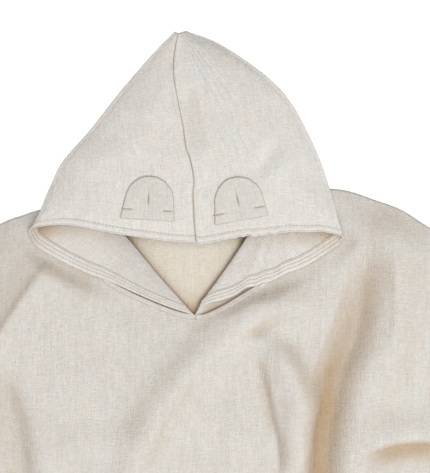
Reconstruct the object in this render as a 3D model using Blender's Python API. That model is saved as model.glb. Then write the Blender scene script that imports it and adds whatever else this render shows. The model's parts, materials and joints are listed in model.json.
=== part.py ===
"""Hooded poncho towel for a baby, laid out flat and face up, as an assembly of its sewn pieces.

The towel lies on z = 0. +Y runs from the bottom hem to the tip of the hood, +Z leaves the front.
The origin is under the middle of the whole outline. "Left" is the -X side.
A cut piece of cloth that folds along a hinge line is modelled as one object on each side of it.
"""

import math

import bmesh
import bpy
from mathutils import Matrix, Vector

MM = 0.001

# Overall sizes
TOWEL_WIDTH = 640 * MM
FRONT_LENGTH = 440 * MM  # neck point to bottom hem
HOOD_LENGTH = 270 * MM  # neck point to the tip of the hood
HEM_TAPER = 0.91  # width at the bottom hem, as a share of the widest part
HEM_CURVE = 18 * MM  # how far the bottom hem rises to its ends

# Cloth and sewing
CLOTH = 1.2 * MM
TURNING = 1.4 * MM  # thickness of a turned hem allowance
GAP = 0.4 * MM  # clearance between pieces that lie on each other
SEAM_GAP = 0.3 * MM  # clearance between pieces that are sewn edge to edge
TRIM_GAP = 0.8 * MM  # clearance between the front panel and the turnings under it
FOLD_GAP = 3 * MM  # clearance across the line where the hood's cloth bends as it is lifted
HEM_WIDTH = 10 * MM
HEM_INSET = 1 * MM
SEAM_WIDTH = 8 * MM

# Neck, measured from the neck point, where the hood's two front edges meet
NECK_DEPTH = 104 * MM  # neck point to the back neck seam
NECK_LEFT = 95 * MM
NECK_RIGHT = 80 * MM
CREASE_INSET = 8 * MM  # the folded edge of a lapel inside the neckline
NECK_POINT_DROP = 1 * MM

# Hood
CORNER_LEFT = Vector((-157 * MM, 78 * MM))  # corners of the hood's mouth
CORNER_RIGHT = Vector((139 * MM, 73 * MM))
BROW_CENTRE = Vector((1 * MM, 69 * MM))
BROW_LIFT = 9 * MM  # how far the brow edge bows up near its corners
HOOD_RISE = 20 * MM  # inner face of the hood's upper layer above the floor
TIP_RISE = 3 * MM  # the same, at the tip, above the lower layer
FOLD_HEIGHT = 5.5 * MM  # inner height of the folded side edge
BROW_HEM_WIDTH = 8 * MM

# Heights of the layers, to their lower faces
FRONT_EDGE_Z = 5.2 * MM  # front panel at the shoulders
FRONT_NECK_Z = 7 * MM  # front panel round the neck
FRONT_Z = 9.5 * MM  # front panel where no fold lifts it
LAPEL_Z = 11 * MM
LAPEL_UNDER_Z = 7.2 * MM
HOOD_ON_SHOULDER_Z = 10 * MM

# Ears
EAR_WIDTH = 50 * MM
EAR_HEIGHT = 41 * MM
EAR_MARGIN = 10 * MM  # sewn part of the ear, below the tacks
EAR_PLACES = {"left": (-45 * MM, 89 * MM, -3.3), "right": (44 * MM, 88.5 * MM, 10.5)}
HINGE_GAP = 0.6 * MM
TACK_LENGTH = 11 * MM
TACK_SIZE = 0.8 * MM
TACK_SETBACK = 1.5 * MM  # from the ear's hinge line

# The hood turns about a line across the lapels, just in front of its brow edge
HOOD_HINGE_Y = 66 * MM
HOOD_HINGE_Z = 12 * MM

# Grids
SIDE_COLUMNS = 8  # columns of the panels along one shoulder
NECK_COLUMNS = 6  # and along one side of the neckline
PANEL_ROWS = 16
HOOD_ROWS = 10
LAPEL_ROWS = 9

CREAM = (0.66, 0.62, 0.56, 1.0)
WARM_CREAM = (0.61, 0.56, 0.49, 1.0)
EAR_CREAM = (0.65, 0.62, 0.57, 1.0)
THREAD = (0.45, 0.38, 0.29, 1.0)

NECK_Y = (FRONT_LENGTH - HOOD_LENGTH) / 2  # puts the origin under the middle of the outline
HALF = TOWEL_WIDTH / 2
FRAME = Vector((0, NECK_Y, 0))


def smooth(x):
    """Smooth step from 0 at x = 0 to 1 at x = 1."""
    x = max(0.0, min(1.0, x))
    return x * x * (3 - 2 * x)


def mix(a, b, share):
    return a + (b - a) * share


def through(points):
    """A smooth curve through the points, as a function of the share of its length from 0 to 1."""
    points = [Vector(p) for p in points]
    ends = [2 * points[0] - points[1], *points, 2 * points[-1] - points[-2]]
    dense = []
    for a, b, c, d in zip(ends, ends[1:], ends[2:], ends[3:]):
        for step in range(12):
            t = step / 12
            square = (2 * a - 5 * b + 4 * c - d) * t**2
            cube = (3 * b - a - 3 * c + d) * t**3
            dense.append(0.5 * (2 * b + (c - a) * t + square + cube))
    dense.append(points[-1])
    reach = [0.0]
    for a, b in zip(dense, dense[1:]):
        reach.append(reach[-1] + (b - a).length)

    def at(share):
        goal = max(0.0, min(1.0, share)) * reach[-1]
        for k in range(len(dense) - 1):
            if goal <= reach[k + 1]:
                break
        span = reach[k + 1] - reach[k]
        return dense[k].lerp(dense[k + 1], (goal - reach[k]) / span if span else 0.0)

    return at


def distance_to_line(point, line):
    """Distance from a point to a line of straight pieces."""
    best = math.inf
    for a, b in zip(line, line[1:]):
        d = b - a
        t = max(0.0, min(1.0, (point - a).dot(d) / d.length_squared))
        best = min(best, (point - a - d * t).length)
    return best


# ---------------------------------------------------------------- outlines, measured from the neck point

SHOULDER_LEFT = Vector((-NECK_LEFT, NECK_DEPTH))
SHOULDER_RIGHT = Vector((NECK_RIGHT, NECK_DEPTH))


def shoulder_curve(start, shape):
    """Shoulder line from the neck to the widest point. The shape gives shares of the way out, and heights."""
    side = math.copysign(1, start.x)
    reach = HALF - abs(start.x)
    return through([start, *[(start.x + side * reach * out, height * MM) for out, height in shape]])


LEFT_SHOULDER = shoulder_curve(
    SHOULDER_LEFT, [(0.23, 97), (0.40, 88), (0.65, 66), (0.85, 28), (0.965, -25), (1.0, -85)]
)
RIGHT_SHOULDER = shoulder_curve(
    SHOULDER_RIGHT, [(0.22, 120), (0.45, 103), (0.65, 79), (0.85, 38), (0.965, -20), (1.0, -85)]
)
NECK_POINT = Vector((0, -NECK_POINT_DROP))


def neckline(shoulder, shape):
    """Cut edge of the neck, from a shoulder to the neck point, through shares of its width and depth."""
    return through([shoulder, *[(shoulder.x * out, shoulder.y * up) for out, up in shape], NECK_POINT])


LEFT_NECKLINE = neckline(SHOULDER_LEFT, [(0.98, 0.7), (0.88, 0.4), (0.55, 0.17)])
RIGHT_NECKLINE = neckline(SHOULDER_RIGHT, [(0.95, 0.72), (0.77, 0.42), (0.48, 0.15)])


def top_points():
    """Points along the front panel's top edge, from the left side over the neck point to the right."""
    left = [LEFT_SHOULDER(1 - k / SIDE_COLUMNS) for k in range(SIDE_COLUMNS)]
    left += [LEFT_NECKLINE(k / NECK_COLUMNS) for k in range(NECK_COLUMNS)]
    right = [RIGHT_SHOULDER(1 - k / SIDE_COLUMNS) for k in range(SIDE_COLUMNS)]
    right += [RIGHT_NECKLINE(k / NECK_COLUMNS) for k in range(NECK_COLUMNS)]
    return left + [NECK_POINT] + right[::-1]


TOP = top_points()
LEFT_SHOULDER_COLUMNS = range(0, SIDE_COLUMNS + 1)
NECK_COLUMN_RANGE = range(SIDE_COLUMNS, SIDE_COLUMNS + 2 * NECK_COLUMNS + 1)
RIGHT_SHOULDER_COLUMNS = range(SIDE_COLUMNS + 2 * NECK_COLUMNS, len(TOP))


def hem_point(column):
    """The point of the bottom hem where this column of the panels ends."""
    x = HALF * HEM_TAPER * (2 * column / (len(TOP) - 1) - 1)
    return Vector((x, -FRONT_LENGTH + HEM_CURVE * (x / HALF) ** 2))


# ---------------------------------------------------------------- the front panel's folds

NECK_ZONE = [CORNER_LEFT, NECK_POINT, CORNER_RIGHT]

# Each fold: its line, and its half width and height.
FOLDS = [
    ([(174, 100), (190, 40), (186, -20), (158, -85), (149, -150), (156, -250)], 30, 9),
    ([(128, 23), (57, -4), (10, -63), (-38, -124), (-70, -175), (-90, -260)], 34, 8),
    ([(-136, 53), (-185, -23), (-225, -95), (-245, -200)], 30, 8),
    ([(105, -20), (95, -80), (92, -140), (100, -230)], 30, 7),
    ([(250, -20), (262, -110), (250, -250), (235, -400)], 34, 7),
    ([(-30, -290), (-40, -360), (-45, -440)], 32, 7),
    ([(-180, -260), (-190, -340), (-195, -430)], 30, 7),
    ([(95, -300), (100, -360), (105, -440)], 30, 7),
]
FOLD_LINES = [
    ([Vector(p) * MM for p in line], width * MM, height * MM) for line, width, height in FOLDS
]


def front_height(x, y, shoulder_share):
    """Height of the front panel's lower face. The share is 0 at the top edge and 1 well below it."""
    point = Vector((x, y))
    lift = sum(
        height * math.exp(-((distance_to_line(point, line) / width) ** 2))
        for line, width, height in FOLD_LINES
    )
    neck = distance_to_line(point, NECK_ZONE) if y < neck_zone_edge(x) else 0.0
    free = smooth((neck - 10 * MM) / (45 * MM))
    resting = mix(FRONT_NECK_Z, FRONT_Z, free)
    edge = mix(FRONT_EDGE_Z, resting, smooth(shoulder_share / 0.5))
    return edge + lift * free * smooth(shoulder_share - 0.4)


def neck_zone_edge(x):
    """The lapels' outer edges, as a height over x."""
    corner = CORNER_LEFT if x < 0 else CORNER_RIGHT
    return corner.y * min(1.0, x / corner.x)


def front_rows():
    """The front panel's lower face as rows of points, from the bottom hem up."""
    rows = []
    for j in range(PANEL_ROWS + 1):
        up = j / PANEL_ROWS
        row = []
        for column, top in enumerate(TOP):
            flat = hem_point(column).lerp(top, up)
            below = (top - flat).length
            z = front_height(flat.x, flat.y, below / (80 * MM))
            row.append(Vector((flat.x, flat.y, z)))
        rows.append(row)
    return rows


# ---------------------------------------------------------------- the hood

HOOD_MIDDLE = (CORNER_LEFT.x + CORNER_RIGHT.x) / 2
HOOD_HALF = (CORNER_RIGHT.x - CORNER_LEFT.x) / 2
TIP_LEFT = Vector((HOOD_MIDDLE - 0.068 * HOOD_HALF, HOOD_LENGTH - 1 * MM))
TIP_RIGHT = Vector((HOOD_MIDDLE + 0.007 * HOOD_HALF, HOOD_LENGTH))
TIP_SEAM = Vector(((TIP_LEFT.x + TIP_RIGHT.x) / 2, HOOD_LENGTH - 4 * MM))
BACK_NECK_CENTRE = Vector(((NECK_RIGHT - NECK_LEFT) / 2, NECK_DEPTH + SEAM_GAP))


def side_curve(corner, shape, tip):
    """Side of the hood, from a corner of its mouth to the tip, through shares of its width and height."""
    side = math.copysign(1, corner.x)
    points = [
        (HOOD_MIDDLE + side * HOOD_HALF * out, corner.y + (HOOD_LENGTH - corner.y) * up)
        for out, up in shape
    ]
    return through([corner, *points, tip])


LEFT_SIDE = side_curve(
    CORNER_LEFT, [(0.872, 0.237), (0.743, 0.412), (0.52, 0.608), (0.318, 0.804)], TIP_LEFT
)
RIGHT_SIDE = side_curve(
    CORNER_RIGHT,
    [(0.959, 0.15), (0.892, 0.314), (0.784, 0.51), (0.628, 0.706), (0.304, 0.902)],
    TIP_RIGHT,
)
SEAM = through(
    [
        BROW_CENTRE,
        *[
            (HOOD_MIDDLE + HOOD_HALF * x, BROW_CENTRE.y + (HOOD_LENGTH - BROW_CENTRE.y) * y)
            for x, y in ((0.054, 0.2), (0.03, 0.36), (-0.007, 0.5), (-0.05, 0.64), (-0.074, 0.82))
        ],
        TIP_SEAM,
    ]
)
BACK_SEAM = through([BACK_NECK_CENTRE, BACK_NECK_CENTRE.lerp(TIP_SEAM, 0.5), TIP_SEAM])
UPPER_SHARES = (0.12, 0.26, 0.42, 0.6, 0.8, 1.0)
LOWER_SHARES = (0.16, 0.32, 0.47, 0.64, 0.82, 1.0)
NECK_CORNER_SHARE = 0.47  # where the lower layer's front edge turns at the neckline's end
FOLD_ANGLES = (-60, -20, 20, 60)


def brow_lift(share, corner):
    """How far the brow edge stands above the straight line from its corner to its centre."""
    peak = 0.2 if corner.x < 0 else 0.3
    return BROW_LIFT * share / peak * math.exp(1 - share / peak) * smooth((1 - share) / 0.3)


def upper_point(side, corner, share, up):
    """A point of the hood's upper layer in plan: share 0 at the folded side and 1 at the seam."""
    edge, seam = side(up), SEAM(up)
    seam = seam + Vector((math.copysign(SEAM_GAP / 2, corner.x), 0))
    lift = brow_lift(share, corner) * (1 - up) ** 2
    return edge.lerp(seam, share) + Vector((0, lift))


def lower_point(side, corner, share, up):
    """A point of the hood's lower layer in plan."""
    edge, seam = side(up), BACK_SEAM(up)
    seam = seam + Vector((math.copysign(SEAM_GAP / 2, corner.x), 0))
    shoulder = SHOULDER_LEFT if corner.x < 0 else SHOULDER_RIGHT
    neck_corner = shoulder + Vector((0, SEAM_GAP))
    if share < NECK_CORNER_SHARE:
        front = corner.lerp(neck_corner, share / NECK_CORNER_SHARE)
    else:
        past = (share - NECK_CORNER_SHARE) / (1 - NECK_CORNER_SHARE)
        front = neck_corner.lerp(BACK_NECK_CENTRE, past)
    straight = corner.lerp(BACK_NECK_CENTRE, share)
    return edge.lerp(seam, share) + (front - straight) * (1 - up) ** 2


def lower_height(point):
    """Inner face of the hood's lower layer: it lies on the shoulders, and on the floor beyond them."""
    floor = GAP + CLOTH
    on_shoulder = smooth((165 * MM - point.y) / (37 * MM))
    if point.x < 0:
        beside_neck = smooth((-point.x - NECK_LEFT + 20 * MM) / (18 * MM))
    else:
        beside_neck = smooth((point.x - NECK_RIGHT + 20 * MM) / (18 * MM))
    return floor + (HOOD_ON_SHOULDER_Z + CLOTH - floor) * on_shoulder * beside_neck


def upper_height(share, up, edge_height):
    """Inner face of the hood's upper layer, from the top of the fold to the seam."""
    tip = GAP + CLOTH + TIP_RISE
    plateau = mix(HOOD_RISE, tip, smooth((up - 0.45) / 0.55))
    return mix(edge_height, max(plateau, edge_height), smooth(share / 0.42))


def hood_section(side, corner, up):
    """One row of a hood panel's inner face: lower seam, folded side, upper seam."""
    lower = [lower_point(side, corner, share, up) for share in LOWER_SHARES]
    upper = [upper_point(side, corner, share, up) for share in UPPER_SHARES]
    edge = side(up)
    inward = (SEAM(up) - edge).normalized()
    low = lower_height(edge + inward * 6 * MM)
    height = mix(FOLD_HEIGHT, TIP_RISE, smooth((up - 0.3) / 0.7))
    radius = height / 2
    row = [Vector((*p, max(lower_height(p), GAP + CLOTH))) for p in reversed(lower)]
    for angle in FOLD_ANGLES:
        a = math.radians(angle)
        flat = edge + inward * (CLOTH + radius * (1 - math.cos(a)))
        row.append(Vector((*flat, low + radius + radius * math.sin(a))))
    row += [
        Vector((*p, upper_height(share, up, low + height))) for p, share in zip(upper, UPPER_SHARES)
    ]
    return row


def hood_rows(side, corner):
    return [hood_section(side, corner, j / HOOD_ROWS) for j in range(HOOD_ROWS + 1)]


# ---------------------------------------------------------------- the lapels


def lapel_rows(corner, shoulder, neck_edge):
    """A lapel's inner face: outer edge, folded crease, and back under itself to the neckline."""
    side = math.copysign(1, corner.x)
    crease_end = Vector((shoulder.x - side * CREASE_INSET, NECK_DEPTH))
    start = 0.1
    rows = []
    for j in range(LAPEL_ROWS + 1):
        along = mix(start, 1.0, j / LAPEL_ROWS)
        hem = NECK_POINT.lerp(corner, along) - Vector((0, 6 * MM * math.sin(math.pi * along)))
        crease = NECK_POINT.lerp(crease_end, along)
        seam = neck_edge(1 - along) - Vector((side * SEAM_GAP, 0))
        width = (hem - crease).length
        outward = (hem - crease).normalized()
        radius = (LAPEL_Z - LAPEL_UNDER_Z - CLOTH) / 2
        row = [
            Vector((*crease.lerp(hem, share), LAPEL_Z)) for share in (1.0, 0.66, 0.33)
        ]
        row.append(Vector((*(crease + outward * min(2.2 * radius, 0.2 * width)), LAPEL_Z)))
        middle = LAPEL_Z - radius
        row.append(Vector((*(crease + outward * 0.2 * radius), middle + 0.6 * radius)))
        row.append(Vector((*(crease + outward * 0.2 * radius), middle - 0.6 * radius)))
        row.append(Vector((*crease.lerp(seam, 0.3), middle - radius)))
        row.append(Vector((*seam, middle - radius)))
        down = Vector((0, FOLD_GAP * along, 0))
        rows.append([p - down for p in row])
    return rows


# ---------------------------------------------------------------- making objects

MATERIALS = {}


def material(name, colour, roughness=0.9):
    if name not in MATERIALS:
        made = bpy.data.materials.new(name)
        made.use_nodes = True
        shader = made.node_tree.nodes["Principled BSDF"]
        shader.inputs["Base Color"].default_value = colour
        shader.inputs["Roughness"].default_value = roughness
        shader.inputs["Metallic"].default_value = 0.0
        MATERIALS[name] = made
    return MATERIALS[name]


def body_cloth():
    return material("body_muslin", WARM_CREAM)


def hood_cloth():
    return material("hood_muslin", CREAM)


def ear_cloth():
    return material("ear_muslin", EAR_CREAM)


def thread():
    return material("thread", THREAD, 0.7)


def empty(name, place, parent=None):
    """An empty on a hinge line. Pieces that move with it are its children."""
    made = bpy.data.objects.new(name, None)
    made.empty_display_size = 10 * MM
    bpy.context.scene.collection.objects.link(made)
    made.parent = parent
    made.location = place - (parent.matrix_world.translation if parent else Vector())
    bpy.context.view_layer.update()
    return made


def finish(name, mesh, cloth, holder=None):
    """Links a mesh, given in the towel's own frame, as an object that hangs on its holder."""
    made = bpy.data.objects.new(name, mesh)
    bpy.context.scene.collection.objects.link(made)
    if holder:
        mesh.transform(holder.matrix_world.inverted())
        made.parent = holder
    mesh.materials.append(cloth)
    mesh.shade_smooth()
    mesh.set_sharp_from_angle(angle=math.radians(40))
    return made


def sheet(name, rows, cloth, thickness=CLOTH, outward=True, holder=None):
    """A sheet of cloth: a grid of points with its thickness on the side its faces point to, or the other."""
    mesh = bpy.data.meshes.new(name)
    shape = bmesh.new()
    grid = [[shape.verts.new(p + FRAME) for p in row] for row in rows]
    for low, high in zip(grid, grid[1:]):
        for a, b, c, d in zip(low, low[1:], high[1:], high):
            shape.faces.new((a, b, c, d))
    shape.to_mesh(mesh)
    shape.free()
    made = finish(name, mesh, cloth, holder)
    solidify = made.modifiers.new("Thickness", "SOLIDIFY")
    solidify.thickness = thickness
    solidify.offset = 1.0 if outward else -1.0
    return made


def plate(name, outline, bottom, thickness, cloth, holder=None):
    """A flat piece with this outline, its lower face at the height given."""
    mesh = bpy.data.meshes.new(name)
    shape = bmesh.new()
    face = shape.faces.new([shape.verts.new(Vector((*p, bottom)) + FRAME) for p in outline])
    grown = bmesh.ops.extrude_face_region(shape, geom=[face])
    moved = [v for v in grown["geom"] if isinstance(v, bmesh.types.BMVert)]
    bmesh.ops.translate(shape, verts=moved, vec=(0, 0, thickness))
    bmesh.ops.recalc_face_normals(shape, faces=shape.faces)
    shape.to_mesh(mesh)
    shape.free()
    return finish(name, mesh, cloth, holder)


def inset_towards(edge, inner, start, width):
    """Two points on the line from an edge point to an inner one: start and start + width from the edge."""
    along = (inner - edge).normalized()
    return edge + along * start, edge + along * (start + width)


def strip(name, pairs, drop, thickness, cloth, holder=None, below=True):
    """A band of tape or turned hem, below or on a sheet. The pairs are points of the sheet's face."""
    away = Vector((0, 0, -drop if below else drop))
    rows = [[pair[0] + away for pair in pairs], [pair[1] + away for pair in pairs]]
    normal = (rows[0][1] - rows[0][0]).cross(rows[1][0] - rows[0][0])
    faces_up = normal.z > 0
    return sheet(name, rows, cloth, thickness, outward=faces_up != below, holder=holder)


# ---------------------------------------------------------------- the poncho


def add_front(rows):
    sheet("front_panel", rows, body_cloth())
    last = len(TOP) - 1
    sides = {"left": (0, 1), "right": (last, last - 1)}
    for side, (edge, inner) in sides.items():
        pairs = [inset_towards(row[edge], row[inner], HEM_INSET, HEM_WIDTH) for row in rows[:-1]]
        strip(f"front_{side}_hem", pairs, TRIM_GAP, TURNING, body_cloth())
    clear = range(1, last)
    pairs = [inset_towards(rows[0][i], rows[1][i], HEM_INSET, HEM_WIDTH) for i in clear]
    strip("front_bottom_hem", pairs, TRIM_GAP, TURNING, body_cloth())
    seams = {"left": LEFT_SHOULDER_COLUMNS[1:], "right": RIGHT_SHOULDER_COLUMNS[:-1]}
    for side, columns in seams.items():
        pairs = [inset_towards(rows[-1][i], rows[-2][i], HEM_INSET, SEAM_WIDTH) for i in columns]
        strip(f"{side}_shoulder_seam", pairs, TRIM_GAP, CLOTH, body_cloth())
    pairs = [
        inset_towards(rows[-1][i], rows[-2][i], HEM_INSET, SEAM_WIDTH) for i in NECK_COLUMN_RANGE[1:-1]
    ]
    strip("front_neck_binding", pairs, GAP, CLOTH, body_cloth())


def add_back():
    """The back panel lies on the floor. Its hems are turned to its inner, upper face."""
    neck = [p for i, p in enumerate(TOP) if i not in NECK_COLUMN_RANGE[1:-1]]
    bottom = [hem_point(column) for column in range(len(TOP))]
    plate("back_panel", bottom + neck[::-1], 0.0, CLOTH, body_cloth())
    top = Vector((0, 0, CLOTH))
    for side, column in (("left", 0), ("right", len(TOP) - 1)):
        upper, lower = TOP[column], hem_point(column)
        inward = Vector((-math.copysign(1, upper.x), 0))
        edge = [upper.lerp(lower, share) for share in (0.0, 0.5, 0.94)]
        reach = (HEM_INSET, HEM_INSET + HEM_WIDTH)
        pairs = [tuple(Vector((*(p + inward * r), 0)) + top for r in reach) for p in edge]
        strip(f"back_{side}_hem", pairs, GAP, TURNING, body_cloth(), below=False)
    pairs = [
        tuple(Vector((*(p + Vector((0, y))), 0)) + top for y in (HEM_INSET, HEM_INSET + HEM_WIDTH))
        for p in bottom[1:-1]
    ]
    strip("back_bottom_hem", pairs, GAP, TURNING, body_cloth(), below=False)
    ends = (-NECK_LEFT + CREASE_INSET, 0.0, NECK_RIGHT - CREASE_INSET)
    reach = (HEM_INSET, HEM_INSET + SEAM_WIDTH)
    pairs = [tuple(Vector((x, NECK_DEPTH - r, 0)) + top for r in reach) for x in ends]
    strip("back_neck_binding", pairs, GAP, CLOTH, body_cloth(), below=False)


def add_lapels():
    """The hood's front edges below the hinge line, turned out over the front panel."""
    sides = {
        "left": (CORNER_LEFT, SHOULDER_LEFT, LEFT_NECKLINE),
        "right": (CORNER_RIGHT, SHOULDER_RIGHT, RIGHT_NECKLINE),
    }
    for side, (corner, shoulder, neckline) in sides.items():
        rows = lapel_rows(corner, shoulder, neckline)
        outward = (rows[0][1] - rows[0][0]).cross(rows[1][0] - rows[0][0]).z > 0
        sheet(f"{side}_lapel", rows, hood_cloth(), outward=outward)
        on_top = Vector((0, 0, CLOTH))
        pairs = [
            tuple(p + on_top for p in inset_towards(row[0], row[1], HEM_INSET, BROW_HEM_WIDTH))
            for row in rows[2:]
        ]
        strip(f"{side}_lapel_hem", pairs, GAP, TURNING, hood_cloth(), below=False)


# ---------------------------------------------------------------- the hood above its hinge line


def add_hood(hinge):
    left = hood_rows(LEFT_SIDE, CORNER_LEFT)
    right = hood_rows(RIGHT_SIDE, CORNER_RIGHT)
    sheet("hood_left_panel", [row[::-1] for row in left], hood_cloth(), outward=False, holder=hinge)
    sheet("hood_right_panel", right, hood_cloth(), outward=False, holder=hinge)
    upper = slice(-len(UPPER_SHARES), None)
    brow = [row[upper] for row in left[:2]], [row[upper] for row in right[:2]]
    pairs = [
        inset_towards(edge, inner, HEM_INSET, BROW_HEM_WIDTH)
        for edge, inner in zip(brow[0][0], brow[0][1])
    ]
    pairs += [
        inset_towards(edge, inner, HEM_INSET, BROW_HEM_WIDTH)
        for edge, inner in zip(brow[1][0][::-1], brow[1][1][::-1])
    ]
    strip("brow_hem", pairs, GAP, TURNING, hood_cloth(), hinge)
    half = SEAM_WIDTH / 2
    for name, column, inner, first, below in (
        ("hood_top_seam_tape", -1, -2, 1, True),
        ("hood_back_seam_tape", 0, 1, 0, False),
    ):
        pairs = []
        for a, b in zip(left[first:-2], right[first:-2]):
            pairs.append((
                a[column] + (a[inner] - a[column]).normalized() * half,
                b[column] + (b[inner] - b[column]).normalized() * half,
            ))
        strip(name, pairs, GAP, CLOTH, hood_cloth(), hinge, below)


# ---------------------------------------------------------------- the ears


def ear_outline(low, high):
    """The ear's outline between two heights above its sewn edge: straight sides under a half circle."""
    half = EAR_WIDTH / 2
    straight = max(EAR_HEIGHT - half, EAR_MARGIN)
    arch = EAR_HEIGHT - straight
    points = [Vector((-half, low)), Vector((half, low))]
    if high <= straight:
        return [*points, Vector((half, high)), Vector((-half, high))]
    for k in range(13):
        a = math.pi * k / 12
        points.append(Vector((half * math.cos(a), straight + arch * math.sin(a))))
    return points


def add_ear(side, hood_hinge):
    x, y, tilt = EAR_PLACES[side]
    turn = Matrix.Rotation(math.radians(tilt), 2)
    base = Vector((x, y))
    rest = HOOD_RISE + CLOTH + GAP
    top = rest + 2 * CLOTH + SEAM_GAP
    axis = base + turn @ Vector((0, EAR_MARGIN))
    hinge = empty(f"{side}_ear_hinge", Vector((*axis, top)) + FRAME, hood_hinge)

    def placed(outline):
        return [base + turn @ p for p in outline]

    margin = ear_outline(0.0, EAR_MARGIN - HINGE_GAP)
    plate(f"{side}_ear_base", placed(margin), rest, top - rest, ear_cloth(), hood_hinge)
    flap = ear_outline(EAR_MARGIN, EAR_HEIGHT)
    plate(f"{side}_ear_back_ply", placed(flap), rest, CLOTH, ear_cloth(), hinge)
    plate(f"{side}_ear_front_ply", placed(flap), top - CLOTH, CLOTH, ear_cloth(), hinge)
    for end, direction in (("left", -1), ("right", 1)):
        outer = direction * (EAR_WIDTH / 2 - 1 * MM)
        inner = outer - direction * TACK_LENGTH
        low = EAR_MARGIN - TACK_SETBACK - TACK_SIZE
        high = low + TACK_SIZE
        bar = [Vector(p) for p in ((inner, low), (outer, low), (outer, high), (inner, high))]
        plate(f"{side}_ear_{end}_tack", placed(bar), top + SEAM_GAP, TACK_SIZE, thread(), hood_hinge)


def main():
    for old in list(bpy.data.objects):
        bpy.data.objects.remove(old)
    add_back()
    add_front(front_rows())
    add_lapels()
    hinge = empty("hood_hinge", Vector((0, HOOD_HINGE_Y, HOOD_HINGE_Z)) + FRAME)
    add_hood(hinge)
    for side in EAR_PLACES:
        add_ear(side, hinge)


main()
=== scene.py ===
"""Looks of the hooded muslin poncho towel: cloth sheets, hems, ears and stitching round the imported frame.

Plan positions are in millimetres from the neck point, where the hood's two front edges meet,
with +Y towards the tip of the hood. Heights are in millimetres above the surface it lies on.
"""

import json
import math

import bpy
import numpy as np
from bpy.props import FloatProperty, FloatVectorProperty, PointerProperty
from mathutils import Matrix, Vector, noise
from mathutils.bvhtree import BVHTree


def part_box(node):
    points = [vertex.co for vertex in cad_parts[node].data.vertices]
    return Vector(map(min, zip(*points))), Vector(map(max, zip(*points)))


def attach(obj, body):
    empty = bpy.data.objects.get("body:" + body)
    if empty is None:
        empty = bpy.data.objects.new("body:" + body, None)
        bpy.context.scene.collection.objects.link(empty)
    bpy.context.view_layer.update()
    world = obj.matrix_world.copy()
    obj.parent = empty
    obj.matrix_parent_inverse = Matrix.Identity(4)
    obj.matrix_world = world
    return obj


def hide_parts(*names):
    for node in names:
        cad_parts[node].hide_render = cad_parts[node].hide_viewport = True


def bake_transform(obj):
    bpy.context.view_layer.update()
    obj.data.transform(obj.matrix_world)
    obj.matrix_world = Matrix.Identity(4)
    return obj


bl_info = {
    "name": "Hooded muslin towel",
    "version": (1, 0, 0),
    "blender": (4, 5, 0),
    "location": "3D View > Sidebar > Towel",
    "description": "Sews the cloth of a hooded poncho towel round its packed frame",
    "category": "Object",
}

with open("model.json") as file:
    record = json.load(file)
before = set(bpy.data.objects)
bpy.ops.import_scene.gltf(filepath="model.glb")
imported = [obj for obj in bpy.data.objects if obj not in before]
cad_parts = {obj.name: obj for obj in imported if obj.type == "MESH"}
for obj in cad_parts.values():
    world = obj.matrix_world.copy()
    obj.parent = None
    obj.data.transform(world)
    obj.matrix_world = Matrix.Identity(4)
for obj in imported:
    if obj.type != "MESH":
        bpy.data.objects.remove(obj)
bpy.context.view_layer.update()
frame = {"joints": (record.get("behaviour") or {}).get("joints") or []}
MM = 0.001

JOINTS = {joint["name"]: joint for joint in frame["joints"]}
HINGE_TO_NECK = 66.0  # the hood's hinge line lies this far behind the neck point
NECK_Y = JOINTS["hood_fold"]["pos_m"][1] / MM - HINGE_TO_NECK
HINGE_HEIGHT = JOINTS["hood_fold"]["pos_m"][2] / MM
WIDEST = (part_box("back_panel")[1][0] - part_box("back_panel")[0][0]) / MM / 2
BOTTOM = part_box("back_panel")[0][1] / MM - NECK_Y

# Two lines behind the neck point, for the hood's layers and for the two panels of the body; the cloth is not
# blended between them.
HOOD_TURN = ((HINGE_TO_NECK, HINGE_HEIGHT), (HINGE_TO_NECK + 3.15, HINGE_HEIGHT + 5.85))
BODY_TURN = ((78.0, 0.0), (94.0, 0.0))

# ---------------------------------------------------------------- outlines, seen from above

LEFT_TIP = [(-155.2, 80.9), (-157.2, 77.8), (-156.4, 73.2)]
RIGHT_TIP = [(138.4, 74.9), (140.8, 73.0), (138.6, 69.8)]
LEFT_BROW = [(-155.2, 80.9), (-151, 82.6), (-144, 84), (-128, 85.6), (-109.5, 84), (-90, 80), (-68, 76),
             (-46, 73), (-24.5, 70.2), (1, 69)]
RIGHT_BROW = [(138.4, 74.9), (132, 76.6), (120, 79), (106, 78.6), (91, 79), (69, 76), (53, 75),
              (36.5, 73), (16, 69), (6, 67.4), (1, 69)]
LEFT_SIDE = [(-157, 78), (-147, 98), (-139, 120), (-127, 145), (-101, 175), (-71, 213), (-38, 251),
             (-19, 270)]
RIGHT_SIDE = [(140.5, 73), (135.5, 92), (128, 122), (120, 146), (107, 175), (91, 203), (74, 222), (50, 241),
              (19, 260), (-9, 270.3)]
CROWN_SEAM = [(1, 69), (-0.5, 85), (-1.9, 113), (-1, 127), (-4.5, 146.5), (-8.4, 157), (-11.2, 176.5),
              (-14.6, 194), (-17.6, 209.5), (-20, 225), (-20.4, 236), (-19.5, 250), (-16.5, 268)]
LEFT_HEM = [(-156.4, 73.2), (-151.5, 65.8), (-136, 56), (-117, 46), (-100, 38.5), (-82, 32),
            (-57, 20.5), (-30, 9), (-2.4, -0.6)]
RIGHT_HEM = [(138.6, 69.8), (136, 66), (124, 58), (110.6, 49.6), (98, 43.4), (86, 39), (73.5, 32.4),
             (66, 31), (57, 27), (49, 25.6), (38.5, 18.7), (26, 14), (14, 11), (5.5, 6.4), (0.6, -0.4)]
LEFT_CREASE = [(-2.4, -0.6), (-19, 18), (-35, 36), (-57, 62.5), (-68.7, 75.6), (-80, 92), (-88, 104)]
RIGHT_CREASE = [(0.6, -0.4), (5.5, 9.5), (11.7, 17.7), (26, 37), (40.6, 58), (48.8, 71), (60, 90), (68, 104)]
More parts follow.
